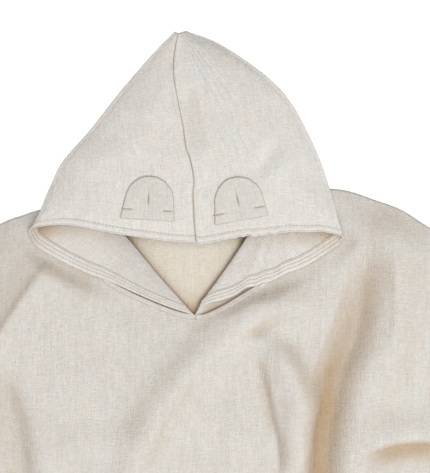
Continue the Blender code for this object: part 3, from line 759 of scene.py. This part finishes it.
class TOWEL_OT_front_panel(bpy.types.Operator):
    """Lay the front panel with its folds over the back panel"""

    bl_idname = "towel.front_panel"
    bl_label = "Front panel"

    def execute(self, context):
        sizes = context.scene.towel_sizes
        plan = panel_grid(True, FRONT_ROWS)
        x, y = plan[..., 0], plan[..., 1]
        z = front_surface(x, y)
        # the fold left of the deep hollow leans over it
        away, share = off_line(x, y, [(110, -60), (112, -84), (107, -106), (106, -135), (104, -190)])
        lean = smooth(share / 0.25) * smooth((1 - share) / 0.3) * bump(away, 8)
        points = np.dstack([x + 5.0 * lean, y, z])
        # painted shade on the folds' steep slopes, added to the painted shade in the hollows and beside the
        # edges
        steep = np.hypot(np.gradient(z, axis=0), np.gradient(z, axis=1)) / ROW_STEP
        shaded = front_painted_shade(x, y) + 0.34 * smooth((steep - 0.15) / 1.1)
        cloth = new_sheet("front_cloth", points, plan, shaded)
        make_up(cloth, sizes.cloth / MM, "body", BODY_TURN)
        hems = panel_hems("front", points, -1, "body", sizes.cloth / MM, sizes)
        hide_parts("front_panel", "left_shoulder_seam", "right_shoulder_seam")
        for name, line, sign in (("left", LEFT_NECK, -1), ("right", RIGHT_NECK, 1)):
            edge = along(line[2:], np.linspace(0.02, 1, 110)).tolist()
            plan = np.array([beside(edge, sign * d) for d in np.linspace(-0.8, 8, 12)])
            raised = 0.55 * (1 - smooth(np.linspace(0, 1.2, 12)))[:, None]
            sheet = np.dstack([plan, front_surface(plan[..., 0], plan[..., 1]) + raised])
            upward = 1 if normals_of(sheet)[3, 50, 2] > 0 else -1
            # a little painted shade over the whole rim
            rim, _ = band(f"{name}_neck_rim", sheet, upward, NECK_RIM_WIDTH, sizes.cloth / MM, (), 0.06)
            make_up(rim, HEM_PLY, "body", BODY_TURN)
            hems.append(rim)
            if name == "left":
                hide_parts("front_neck_binding")
        cloth_area(points * (1, 1, 0))
        return {"FINISHED"}


# ---------------------------------------------------------------- the hood

HOOD_ROWS = 104
UPPER_COLUMNS = 72
LOWER_COLUMNS = 76
CREASE_SHARE = 0.42  # share of the rows that end at the crease
NECK_SHARE = 0.56  # and of those that end at the crease or the back neck
LAPEL_ROWS = (0.27, 0.58, 0.88)  # rows of stitching across a lapel's hem, as shares of its width
LAPEL_STITCHES = {}  # the same rows in plan, filled in when the hood is sewn


def hood_side(name):
    left = name == "left"
    names = ("side", "tip", "brow", "hem", "crease", "neck", "sign", "seed")
    if left:
        values = (LEFT_SIDE, LEFT_TIP, LEFT_BROW, LEFT_HEM, LEFT_CREASE, LEFT_NECK, -1, 21.0)
    else:
        values = (RIGHT_SIDE, RIGHT_TIP, RIGHT_BROW, RIGHT_HEM, RIGHT_CREASE, RIGHT_NECK, 1, 37.0)
    return dict(zip(names, values))


def inner_line(lines, up):
    """Where the hood's lower layer ends: along the crease, the back neck and the back seam."""
    crease = along(lines["crease"], np.clip(up / CREASE_SHARE, 0, 1))
    end, centre = np.array(lines["crease"][-1]), np.array(BACK_SEAM[0])
    neck = mix(end, centre, np.clip((up - CREASE_SHARE) / (NECK_SHARE - CREASE_SHARE), 0, 1)[:, None])
    seam = along(BACK_SEAM, np.clip((up - NECK_SHARE) / (1 - NECK_SHARE), 0, 1))
    first = (up < CREASE_SHARE)[:, None]
    return np.where(first, crease, np.where((up < NECK_SHARE)[:, None], neck, seam))


def fold_radius(up, lines):
    """Radius of the hood's folded side edge."""
    at_corner = 3.9 if lines["sign"] < 0 else 3.2
    return mix(at_corner, 2.6, smooth(up / 0.3)) * mix(1, 0.55, smooth((up - 0.6) / 0.4))


def fold_centre(y):
    """Height of the middle of the folded side edge: on the shoulder near the corner, then on the floor."""
    return mix(14.0, 3.8, smooth((y - 88) / 44))


def crown_height(x, y, sizes):
    """The hood's upper layer away from its folded sides."""
    plain = mix(sizes.hood_rise / MM, CROWN_BACK, smooth((y - 120) / 165))
    return shaped(x, y, plain, CROWN_FOLDS, CROWN_DENTS)


def upper_layer(x, y, away, edge, hem_in, seam_in, lines, sizes):
    """Heights and painted shade of the hood's upper layer.

    The distances are from the folded side, whose top is at the edge's height, from the brow, and from the
    crown seam.
    """
    rise = smooth(away / SIDE_SLOPE) * 0.75 + smooth(away / SIDE_ROUND) * 0.25
    z = mix(edge, np.maximum(crown_height(x, y, sizes), edge - 1.0), rise)
    z = z + smooth(away / 10) * crinkle(x, y, lines["seed"], 0.8, 0.28, 0.12)
    groove = sizes.brow_hem / MM
    z = z + 0.5 * np.sqrt(np.clip(np.sin(math.pi * np.clip(hem_in / groove, 0, 1)), 0, 1))
    z = z - 0.5 * bump(hem_in - groove, 0.8)
    z = z - 0.12 * bump(seam_in, 0.9) + 0.22 * bump(seam_in - 2.4, 1.5)
    z = z + 0.22 * bump(seam_in - 2, 3.0) * np.sin(y / 1.9) * bump(y - 128, 16)
    # painted shade along the crown seam, in the brow's stitching groove, and in a band beside the seam on the
    # crown
    warm = 0.2 * bump(seam_in, 0.7) + 0.22 * bump(hem_in - groove, 0.7)
    return z, warm + 0.16 * bump(x + 2, 7) * smooth((y - 150) / 10) * smooth((222 - y) / 20)


def lower_layer(x, y, away, edge, share, lines):
    """Heights and painted shade of the lower layer: on the lapel and the shoulder, then on the floor."""
    behind = smooth((y - 104) / 24)
    beside = smooth((lines["sign"] * x - 62) / 16)
    lapel = mix(LAPEL_LEVEL, LAPEL_LEVEL + 0.2, smooth(share)) - 0.8 * smooth((share - 0.9) / 0.1)
    lapel = mix(lapel, 9.6, smooth((14 - y) / 16))
    on_body = mix(lapel, mix(2.0, SHOULDER_LAYER, beside), smooth((y - 84) / 20))
    z = mix(edge, mix(on_body, FLOOR_LAYER, behind), smooth(away / LOWER_SLOPE))
    z = z + smooth(away / 12) * crinkle(x, y, lines["seed"] + 5, 0.4, 0.2, 0.1)
    # painted shade: a little over the whole lower layer, more under the brow and most at the hood's corner
    brow = along(lines["brow"], np.linspace(0, 1, 60))
    brow = brow[np.argsort(brow[:, 0])]
    under = smooth((y - np.interp(x, brow[:, 0], brow[:, 1]) + 20) / 18)
    corner = np.hypot(x - lines["side"][0][0], y - lines["side"][0][1])
    return z, 0.07 + 0.5 * under * (0.3 + bump(corner, 46)) + 0.45 * bump(corner, 15)


def hood_grid(lines, sizes):
    """Inner surface of one side of the hood: from the crown seam over the folded side to the crease."""
    up = np.linspace(0, 1, HOOD_ROWS) ** 1.25
    side = along(lines["side"], up)
    seam = along(CROWN_SEAM, up) + (lines["sign"] * 0.02, 0)
    inner = inner_line(lines, up)
    radius = fold_radius(up, lines)[:, None]
    centre = fold_centre(side[:, 1])[:, None]
    inward = unit(seam - side)
    tip = bump(up * length_of(lines["side"]), 8.0)[:, None]

    def layer(edge, shares, front, fade):
        """Plan positions from the folded side to another edge, drawn to the hood's front edge by the fade."""
        plan = mix(side[:, None], edge[:, None], shares[None, :, None])
        return plan + (front - mix(side[0], edge[0], shares[:, None]))[None] * fade[:, None, None]

    def drawn_in(plan, away):
        """A layer's plan positions, moved inwards where the cloth turns round the folded side."""
        return plan + (inward * radius)[:, None] * ((1 - smooth(away / (3 * radius))) * (1 - tip))[..., None]

    shares = np.linspace(1, 0, UPPER_COLUMNS) ** 1.1
    brow = along(lines["brow"], shares)
    pucker = smooth((brow[:, 0] - 30) / 14) * smooth((92 - brow[:, 0]) / 14)
    brow[:, 1] += pucker * (0.75 * np.sin(brow[:, 0] / 1.55) + 0.4 * np.sin(brow[:, 0] / 3.4))
    plan = layer(seam, shares, brow, (1 - up) ** 3)
    x, y = plan[..., 0], plan[..., 1]
    away = np.linalg.norm(plan - side[:, None], axis=-1)
    hem_in = np.linalg.norm(plan - plan[:1], axis=-1)
    seam_in = np.abs(x - seam[:, None, 0])
    z, top_painted_shade = upper_layer(x, y, away, centre + radius, hem_in, seam_in, lines, sizes)
    top = np.dstack([drawn_in(plan, away), z])

    shares = np.linspace(0, 1, LOWER_COLUMNS) ** 1.1
    plan = layer(inner, shares, along(lines["hem"], shares), np.clip(1 - up / 0.7, 0, 1) ** 1.6)
    x, y = plan[..., 0], plan[..., 1]
    away = np.linalg.norm(plan - side[:, None], axis=-1)
    z, low_painted_shade = lower_layer(x, y, away, centre - radius, shares[None], lines)
    low = np.dstack([drawn_in(plan, away), z])

    turns = np.radians(np.linspace(72, -72, 9))
    plan = side[:, None] + inward[:, None] * (radius[:, :, None] * (1 - np.cos(turns))[None, :, None])
    loop = along(lines["tip"], np.linspace(0, 1, len(turns)))
    plan = plan + (loop - plan[0])[None] * tip[..., None]
    middle = np.dstack([plan, centre + radius * np.sin(turns)])
    # painted shade of both layers, and none on the folded side
    warm = np.hstack([top_painted_shade[:, :-1], 0 * middle[..., 0], low_painted_shade[:, 1:]])
    return np.hstack([top[:, :-1], middle, low[:, 1:]]), up, warm


class TOWEL_OT_hood(bpy.types.Operator):
    """Sew the hood's two sides, each folded over at its edge and turned back as a lapel"""

    bl_idname = "towel.hood"
    bl_label = "Hood"

    def execute(self, context):
        sizes = context.scene.towel_sizes
        tapes = self.tape(sizes)
        for name in ("left", "right"):
            lines = hood_side(name)
            points, up, warm = hood_grid(lines, sizes)
            weave = np.dstack([lines["sign"] * reach_along(points, 1), reach_along(points, 0)])
            cloth = new_sheet(f"{name}_hood_cloth", points, weave, warm)
            make_up(cloth, sizes.cloth / MM, "hood")
            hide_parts(f"hood_{name}_panel", f"{name}_lapel")
            hem = self.mouth_hem(name, points, sizes)
            roll = self.crease(name, points, up, sizes)
            under = self.facing(name, lines)
            cloth_area(points)
        return {"FINISHED"}

    def mouth_hem(self, name, points, sizes):
        """The turned hem along the lapel, on the hood's inner face."""
        inner = -1 if normals_of(points[:4])[0, 4, 2] > 0 else 1
        width = sizes.lapel_hem / MM
        grooves = [width * share for share in LAPEL_ROWS]
        # painted shade on the hem near the hood's corner, under the brow
        corner = np.linalg.norm(points[0] - points[0, UPPER_COLUMNS + 3], axis=-1)
        warm = 0.35 * bump(corner, 20)
        made, rows = band(f"{name}_mouth_hem", points, inner, width, sizes.cloth / MM, grooves, warm)
        LAPEL_STITCHES[name] = [row[UPPER_COLUMNS + 7:, :2] for row in rows]
        make_up(made, LAPEL_PLY, "hood")
        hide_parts(f"{name}_lapel_hem")
        return made

    def crease(self, name, points, up, sizes):
        """The lapel's rolled crease, where the cloth turns back under itself."""
        rows = np.searchsorted(up, CREASE_SHARE)
        sheet = points[:rows, ::-1].swapaxes(0, 1)
        under = -1 if normals_of(sheet[:6])[2, 4, 2] > 0 else 1
        made, _ = band(f"{name}_crease_roll", sheet, under, CREASE_WIDTH, sizes.cloth / MM)
        make_up(made, CREASE_PLY, "hood")
        return made

    def facing(self, name, lines):
        """The cloth under a lapel, from its crease back to the neck seam."""
        share = np.linspace(0, 1, 90)
        crease = along(lines["crease"], share)
        seam = along(lines["neck"][::-1], share)
        across = np.linspace(0, 1, 24)[:, None, None]
        start = mix(crease, seam, 0.12)
        plan = mix(start[None], (seam + unit(seam - start) * 2.5)[None], across)
        x, y = plan[..., 0], plan[..., 1]
        z = mix(8.4, 6.6, smooth(across[..., 0])) + 0.35 * ripple(x, y, 16, lines["seed"])
        points = np.dstack([plan, z])
        # painted shade in the gap under the lapel, deeper towards the neck seam
        warm = 0.25 + 0.5 * smooth(across[..., 0] / 0.6) + 0.25 * ripple(x, y, 12, lines["seed"] + 2)
        made = new_sheet(f"{name}_lapel_facing", points, plan, warm)
        make_up(made, FACING_PLY, "hood")
        return made

    def tape(self, sizes):
        """Seam tapes under the crown seam and on the back seam."""
        tapes = {}
        offsets = np.array([-3.5, -1.2, 0, 1.2, 3.5])[:, None]
        for side, seam, line in (("left", "crown", CROWN_SEAM), ("right", "back", BACK_SEAM)):
            x, y = along(line, np.linspace(0.03, 0.97, 120)).T
            x = x + offsets
            y = y + 0 * offsets
            z = 2.2 + 0 * x
            if seam == "crown":
                z = np.minimum(crown_height(x, y, sizes) - 1.9, mix(20.0, 4.5, smooth((y - 120) / 150)))
            made = new_sheet(f"{seam}_seam_tape", np.dstack([x, y, z]), np.dstack([x, y]))
            make_up(made, FACING_PLY, "hood")
            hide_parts("hood_top_seam_tape" if seam == "crown" else "hood_back_seam_tape")
            tapes[side] = made
        return tapes


# ---------------------------------------------------------------- ears


EAR_MARGIN = 10.0  # from an ear's base up to its tacks
EAR_REACH = 25.0  # from an ear's outline in to its centre
EAR_TURN = (-1.2, 2.2)  # distances above an ear's tacks; the two points made from them are not used
EAR_TURN_HEIGHT = 24.0
EAR_SQUARENESS = 2.12  # of its arch, where 2 is round
EAR_TAPER = (0.17, 0.02)  # how much narrower an ear is at its top, on its left and right
EAR_POINTS = 96  # points round its arch


def ear_outline(width, height, count, seed):
    """Outline of an ear from its base: straight sides and an arch, round from the left bottom corner."""
    half = width / 2
    straight = height - half * 0.98
    angle = np.linspace(math.pi, 0, count)
    power = 2 / EAR_SQUARENESS
    arch = np.stack([
        0.97 * half * np.sign(np.cos(angle)) * np.abs(np.cos(angle)) ** power,
        straight + (height - straight) * np.sin(angle) ** power,
    ], axis=1)
    side = np.linspace(0, 1, count // 3, endpoint=False)[:, None]
    left = mix(np.array([-half - 0.4, 0.4]), arch[0], side)
    right = mix(arch[-1], np.array([half + 0.4, 0.4]), side + 1 / (count // 3))
    base = mix(right[-1], left[0], np.linspace(0, 1, count // 2 + 1, endpoint=False)[1:, None])
    outline = np.vstack([left, arch, right, base])
    rise = outline[:, 1] / height
    narrower = 1 - rise * np.where(outline[:, 0] < 0, *EAR_TAPER)
    uneven = 0.5 * ripple(outline[:, 0], outline[:, 1], 9, seed)
    return np.stack([outline[:, 0] * narrower + uneven, outline[:, 1] + uneven * 0.7], axis=1)


def ear_relief(a, b, away, seed):
    """Rise of an ear's face over a flat one, and its painted shade: its pleat and slit, its tacks, its loft.
    """
    lean = a + 0.06 * (b - 20)
    pleat = 0.3 * bump(lean + 2.0, 1.8) - 0.8 * smooth((lean + 0.3) / 0.5) * bump(lean, 4.0)
    slit = bump(lean, 0.6) * bump(b - 20, 5)
    tacks = bump(b - EAR_MARGIN, 1.3) * smooth((np.abs(a) - 12.5) / 2)
    puff = 0.5 * smooth(away / 9) + 0.22 * ripple(a, b, 9, seed)
    rise = pleat * smooth((38 - b) / 6) - 1.5 * slit - 0.7 * tacks + 0.6 * puff
    # painted shade round the outline, along the pleat and in the slit
    warm = 0.85 * bump(away, 0.5) + 0.25 * bump(lean, 0.55) * smooth((39 - b) / 6) + 0.7 * slit
    return rise, warm


def ear_place(name):
    """The middle of an ear's line of tacks from the neck point, and the ear's ways across and up."""
    joint = JOINTS[f"{name}_ear_flap"]
    across = np.array(joint["axis"][:2])
    return np.array(joint["pos_m"][:2]) / MM - (0, NECK_Y), across, np.array([-across[1], across[0]])


class TOWEL_OT_ears(bpy.types.Operator):
    """Make the two ears, pleated in the middle and tacked near the base"""

    bl_idname = "towel.ears"
    bl_label = "Ears"

    def execute(self, context):
        sizes = context.scene.towel_sizes
        hood = tree_of("left_hood_cloth", "right_hood_cloth")
        for name, sign in (("left", -1), ("right", 1)):
            tack, axis, up = ear_place(name)
            base = tack - up * EAR_MARGIN
            outline = ear_outline(sizes.ear_width / MM, sizes.ear_height / MM, EAR_POINTS, 5.0 + sign)
            inward = np.concatenate([np.linspace(0, 1, 9) ** 1.6 * 2.6, np.linspace(3.2, EAR_REACH, 34)])
            centre = np.array([0.0, sizes.ear_height / MM * 0.46])
            flat = mix(outline[None], centre[None, None], inward[:, None, None] / EAR_REACH * 0.995)
            a, b = flat[..., 0], flat[..., 1]
            away = inward[:, None] + 0 * a
            rim = np.sqrt(1 - (1 - np.clip(away / 1.6, 0, 1)) ** 2)
            relief, warm = ear_relief(a, b, away, 3.0 + sign)
            x = base[0] + a * axis[0] + b * up[0]
            y = base[1] + a * axis[1] + b * up[1]
            half = sizes.ear_loft / MM / 2
            level = heights_on(hood, x, y) + 0.32 + half
            front = np.dstack([x, y, level + rim * (half + relief)])
            back = np.dstack([x, y, level - rim * half])
            made = self.pillow(f"{name}_ear_cloth", front, back, flat, warm)
            dress(made, "ear")
            start, end = (np.array([*(tack + up * d), EAR_TURN_HEIGHT]) + (0, NECK_Y, 0) for d in EAR_TURN)
            tuple(start * MM)
            tuple(end * MM)
            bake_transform(made)
            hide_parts(f"{name}_ear_base", f"{name}_ear_back_ply", f"{name}_ear_front_ply")
        return {"FINISHED"}

    def pillow(self, name, front, back, flat, warm):
        """A closed thin shape from rings on its front and back that share their outer ring."""
        rings, count = front.shape[:2]
        points = np.vstack([front.reshape(-1, 3), back[1:].reshape(-1, 3)])
        weave = np.vstack([flat.reshape(-1, 2), flat[1:].reshape(-1, 2)])
        top = np.arange(rings * count).reshape(rings, count)
        low = np.vstack([top[:1], top[1:] + (rings - 1) * count])
        faces = []
        for grid, flip in ((top, False), (low, True)):
            after = np.roll(grid, -1, axis=1)
            quads = np.stack([grid[:-1], after[:-1], after[1:], grid[1:]], axis=-1).reshape(-1, 4)
            faces += (quads[:, ::-1] if flip else quads).tolist()
            cap = grid[-1].tolist()
            faces.append(cap[::-1] if flip else cap)
        made = new_object(name, points, faces)
        give_weave(made.data, weave, np.vstack([warm, warm[1:]]))
        activate(made)
        bpy.ops.object.mode_set(mode="EDIT")
        bpy.ops.mesh.select_all(action="SELECT")
        bpy.ops.mesh.normals_make_consistent(inside=False)
        bpy.ops.object.mode_set(mode="OBJECT")
        return made


# ---------------------------------------------------------------- stitching


RAY_START = 0.2  # metres above the floor, over all cloth


def tree_of(*names):
    """A search tree over the faces of these pieces."""
    points, faces = [], []
    for name in names:
        mesh = bpy.data.objects[name].data
        start = len(points)
        points += [v.co.copy() for v in mesh.vertices]
        faces += [[start + i for i in p.vertices] for p in mesh.polygons]
    return BVHTree.FromPolygons(points, faces)


def heights_on(tree, x, y):
    """Height of the uppermost cloth at these places, in millimetres."""
    found = []
    for a, b in zip(np.ravel(x).tolist(), np.ravel(y).tolist()):
        hit = tree.ray_cast(Vector((a * MM, (b + NECK_Y) * MM, RAY_START)), Vector((0, 0, -1)))[0]
        found.append(hit.z / MM if hit else math.nan)
    found = np.array(found)
    found[np.isnan(found)] = np.nanmean(found)
    return found.reshape(np.shape(x))


def stitch_shape(context):
    """One stitch along X at the origin: a short thread whose ends dive into the cloth."""
    sizes = context.scene.towel_sizes
    bpy.ops.object.select_all(action="DESELECT")
    bpy.ops.mesh.primitive_cylinder_add(vertices=6, radius=0.5, depth=1.0, rotation=(0, math.pi / 2, 0))
    made = context.active_object
    bpy.ops.object.transform_apply(location=True, rotation=True, scale=True)
    bpy.ops.object.mode_set(mode="EDIT")
    bpy.ops.mesh.select_all(action="SELECT")
    bpy.ops.mesh.subdivide(number_cuts=1)
    bpy.ops.object.mode_set(mode="OBJECT")
    points = np.array([v.co for v in made.data.vertices])
    ends = np.abs(points[:, 0]) * 2
    points[:, 1:] *= (1 - 0.35 * ends**2)[:, None]
    points *= (sizes.stitch / MM, sizes.thread / MM, sizes.thread / MM)
    points[:, 2] -= ends**2 * sizes.thread / MM * 0.9
    faces = [list(p.vertices) for p in made.data.polygons]
    bpy.data.objects.remove(made)
    return points, faces


def sew(context, name, lines, cloth, sink=0.1, stretch=1.0, swell=1.0):
    """Stitches along lines in plan, lying on the cloth below them."""
    sizes = context.scene.towel_sizes
    shape, faces = stitch_shape(context)
    shape = shape * (stretch, swell, swell)
    step = (sizes.stitch + sizes.stitch_gap) / MM if stretch == 1 else sizes.stitch / MM
    tree = tree_of(*cloth)
    points, quads = [], []
    for line in lines:
        run = length_of(line)
        count = max(1, int(run / step))
        starts = along(line, (np.arange(count) + 0.15) / count)
        ends = along(line, (np.arange(count) + 0.85) / count)
        z0 = heights_on(tree, starts[:, 0], starts[:, 1])
        z1 = heights_on(tree, ends[:, 0], ends[:, 1])
        for a, b, za, zb in zip(starts, ends, z0, z1):
            way = unit(np.array([*(b - a), zb - za]))
            side = unit(np.cross((0, 0, 1), way))
            normal = np.cross(way, side)
            centre = np.array([*(a + b) / 2, (za + zb) / 2 + swell * sizes.thread / MM / 2 - sink])
            moved = centre + shape[:, :1] * way + shape[:, 1:2] * side + shape[:, 2:] * normal
            quads += [[len(points) + i for i in f] for f in faces]
            points += moved.tolist()
    made = new_object(name, points, quads)
    dress(made, "thread")
    return made


def beside(line, distance):
    """A line moved sideways by this much, to the left of its way."""
    dense = along(line, np.linspace(0, 1, 110))
    way = unit(np.gradient(dense, axis=0))
    return (dense + np.stack([-way[:, 1], way[:, 0]], axis=1) * distance).tolist()


class TOWEL_OT_stitching(bpy.types.Operator):
    """Sew the brow, the lapels, the ears' tacks and the body's hems"""

    bl_idname = "towel.stitching"
    bl_label = "Stitching"

    def execute(self, context):
        sizes = context.scene.towel_sizes
        hood = ("left_hood_cloth", "right_hood_cloth")
        gap = sizes.brow_hem / MM
        brow = [beside(LEFT_BROW[2:], gap), beside(RIGHT_BROW[2:], -gap)]
        made = sew(context, "brow_stitching", brow, hood)
        turn_with_hood(made)
        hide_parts("brow_hem")
        crown = along(CROWN_SEAM, np.linspace(0.004, 0.995, 90))
        made = sew(context, "crown_seam_stitching", [crown.tolist()], hood, 0.12, 1.6, 1.2)
        turn_with_hood(made)
        for name in ("left", "right"):
            rows = LAPEL_STITCHES[name]
            made = sew(context, f"{name}_lapel_stitching", rows, (f"{name}_mouth_hem", f"{name}_hood_cloth"))
            turn_with_hood(made)
        for name in ("left", "right"):
            tack, across, up = ear_place(name)
            for end, sign in (("left", -1), ("right", 1)):
                outer = tack - up * 0.4 + across * sign * (sizes.ear_width / MM / 2 + 0.6)
                inner = tack - up * 0.4 + across * sign * (sizes.ear_width / MM / 2 - 10.5)
                made = sew(context, f"{name}_ear_{end}_tacking", [[tuple(outer), tuple(inner)]],
                           (f"{name}_ear_cloth", *hood), -0.1, 1.4, 1.7)
                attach(made, "hood")
                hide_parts(f"{name}_ear_{end}_tack")
        self.body(context, sizes)
        return {"FINISHED"}

    def body(self, context, sizes):
        """Stitching of the body's hems, on the front panel's face."""
        inset = sizes.body_hem / MM - 2
        side = np.linspace(-0.97, 0.97, 60)
        bottom = np.stack([WIDEST * HEM_CORNER * side, BOTTOM + HEM_RISE * side**2 + inset], axis=1)
        lines = [bottom.tolist()]
        for sign in (-1, 1):
            low = np.array([sign * (WIDEST * HEM_CORNER - inset), BOTTOM + HEM_RISE + 3])
            high = np.array([sign * (WIDEST - inset), -95.0])
            lines.append(mix(low, high, np.linspace(0, 1, 30)[:, None]).tolist())
        made = sew(context, "body_hem_stitching", lines, ("front_cloth",))
        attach(made, "towel")


# ---------------------------------------------------------------- stage

VIEW_CENTRE = (19.0, 73.6)  # the middle of the view, from the neck point
VIEW_HEIGHT = 449.4  # what the view covers up and down, at the level of the cloth
CLOTH_LEVEL = 14.0
LENS = 85.0
SENSOR = 36.0
FLOOR_SIZE = 60.0  # metres, so that no view from above it shows its end
FLOOR_LEVEL = -0.0002
LIGHTS = (  # name, place, diameter in metres, watts and colour
    ("soft_box", (0.55, -0.85, 1.9), 1.5, 35.0, (0.965, 0.985, 1.0)),
    ("overhead", (0.0, 0.2, 2.4), 2.4, 22.0, (0.975, 0.985, 1.0)),
)
SKY_COLOUR = (1.0, 0.91, 0.79, 1.0)
SKY_STRENGTH = 0.40


class TOWEL_OT_stage(bpy.types.Operator):
    """Set the floor, the soft lights and the camera straight above"""

    bl_idname = "towel.stage"
    bl_label = "Stage"

    def execute(self, context):
        scene = context.scene
        scene.view_settings.view_transform = "Standard"
        bpy.ops.object.select_all(action="DESELECT")
        bpy.ops.mesh.primitive_plane_add(size=FLOOR_SIZE, location=(0, 0, FLOOR_LEVEL))
        floor = context.active_object
        floor.name = "floor"
        bpy.ops.object.mode_set(mode="EDIT")
        bpy.ops.mesh.subdivide(number_cuts=4)
        bpy.ops.object.mode_set(mode="OBJECT")
        floor.data.materials.append(finish_for("floor"))
        distance = VIEW_HEIGHT * LENS / SENSOR
        centre = Vector((VIEW_CENTRE[0] * MM, (VIEW_CENTRE[1] + NECK_Y) * MM, 0))
        camera = bpy.data.cameras.new("camera")
        camera.lens = LENS
        camera.sensor_width = SENSOR
        camera.clip_start = 0.01
        camera.clip_end = 50
        holder = bpy.data.objects.new("camera", camera)
        holder.location = centre + Vector((0, 0, (distance + CLOTH_LEVEL) * MM))
        scene.collection.objects.link(holder)
        scene.camera = holder
        for name, place, diameter, power, colour in LIGHTS:
            data = bpy.data.lights.new(name, "AREA")
            data.shape = "DISK"
            data.size = diameter
            data.energy = power
            data.color = colour
            light = bpy.data.objects.new(name, data)
            light.location = place
            light.rotation_euler = (centre - light.location).to_track_quat("-Z", "Y").to_euler()
            scene.collection.objects.link(light)
        world = bpy.data.worlds.new("studio")
        world.use_nodes = True
        background = world.node_tree.nodes["Background"]
        background.inputs["Color"].default_value = SKY_COLOUR
        background.inputs["Strength"].default_value = SKY_STRENGTH
        scene.world = world
        return {"FINISHED"}


# ---------------------------------------------------------------- the panel and the add-on

PIECES = (
    TOWEL_OT_back_panel,
    TOWEL_OT_front_panel,
    TOWEL_OT_hood,
    TOWEL_OT_ears,
    TOWEL_OT_stitching,
    TOWEL_OT_stage,
)


class TOWEL_PT_pieces(bpy.types.Panel):
    """Lists the towel's pieces and its sizes and colours"""

    bl_idname = "TOWEL_PT_pieces"
    bl_label = "Hooded towel"
    bl_space_type = "VIEW_3D"
    bl_region_type = "UI"
    bl_category = "Towel"

    def draw(self, context):
        for group in (context.scene.towel_sizes, context.scene.towel_colours):
            column = self.layout.column()
            for name in group.__annotations__:
                column.prop(group, name)
        for piece in PIECES:
            self.layout.operator(piece.bl_idname)


CLASSES = (TowelSizes, TowelColours, *PIECES, TOWEL_PT_pieces)


def register():
    for cls in CLASSES:
        bpy.utils.register_class(cls)
    bpy.types.Scene.towel_sizes = PointerProperty(type=TowelSizes)
    bpy.types.Scene.towel_colours = PointerProperty(type=TowelColours)


def unregister():
    del bpy.types.Scene.towel_colours
    del bpy.types.Scene.towel_sizes
    for cls in reversed(CLASSES):
        bpy.utils.unregister_class(cls)


def main():
    register()
    for piece in PIECES:
        group, name = piece.bl_idname.split(".")
        getattr(getattr(bpy.ops, group), name)()


if __name__ == "__main__":
    main()
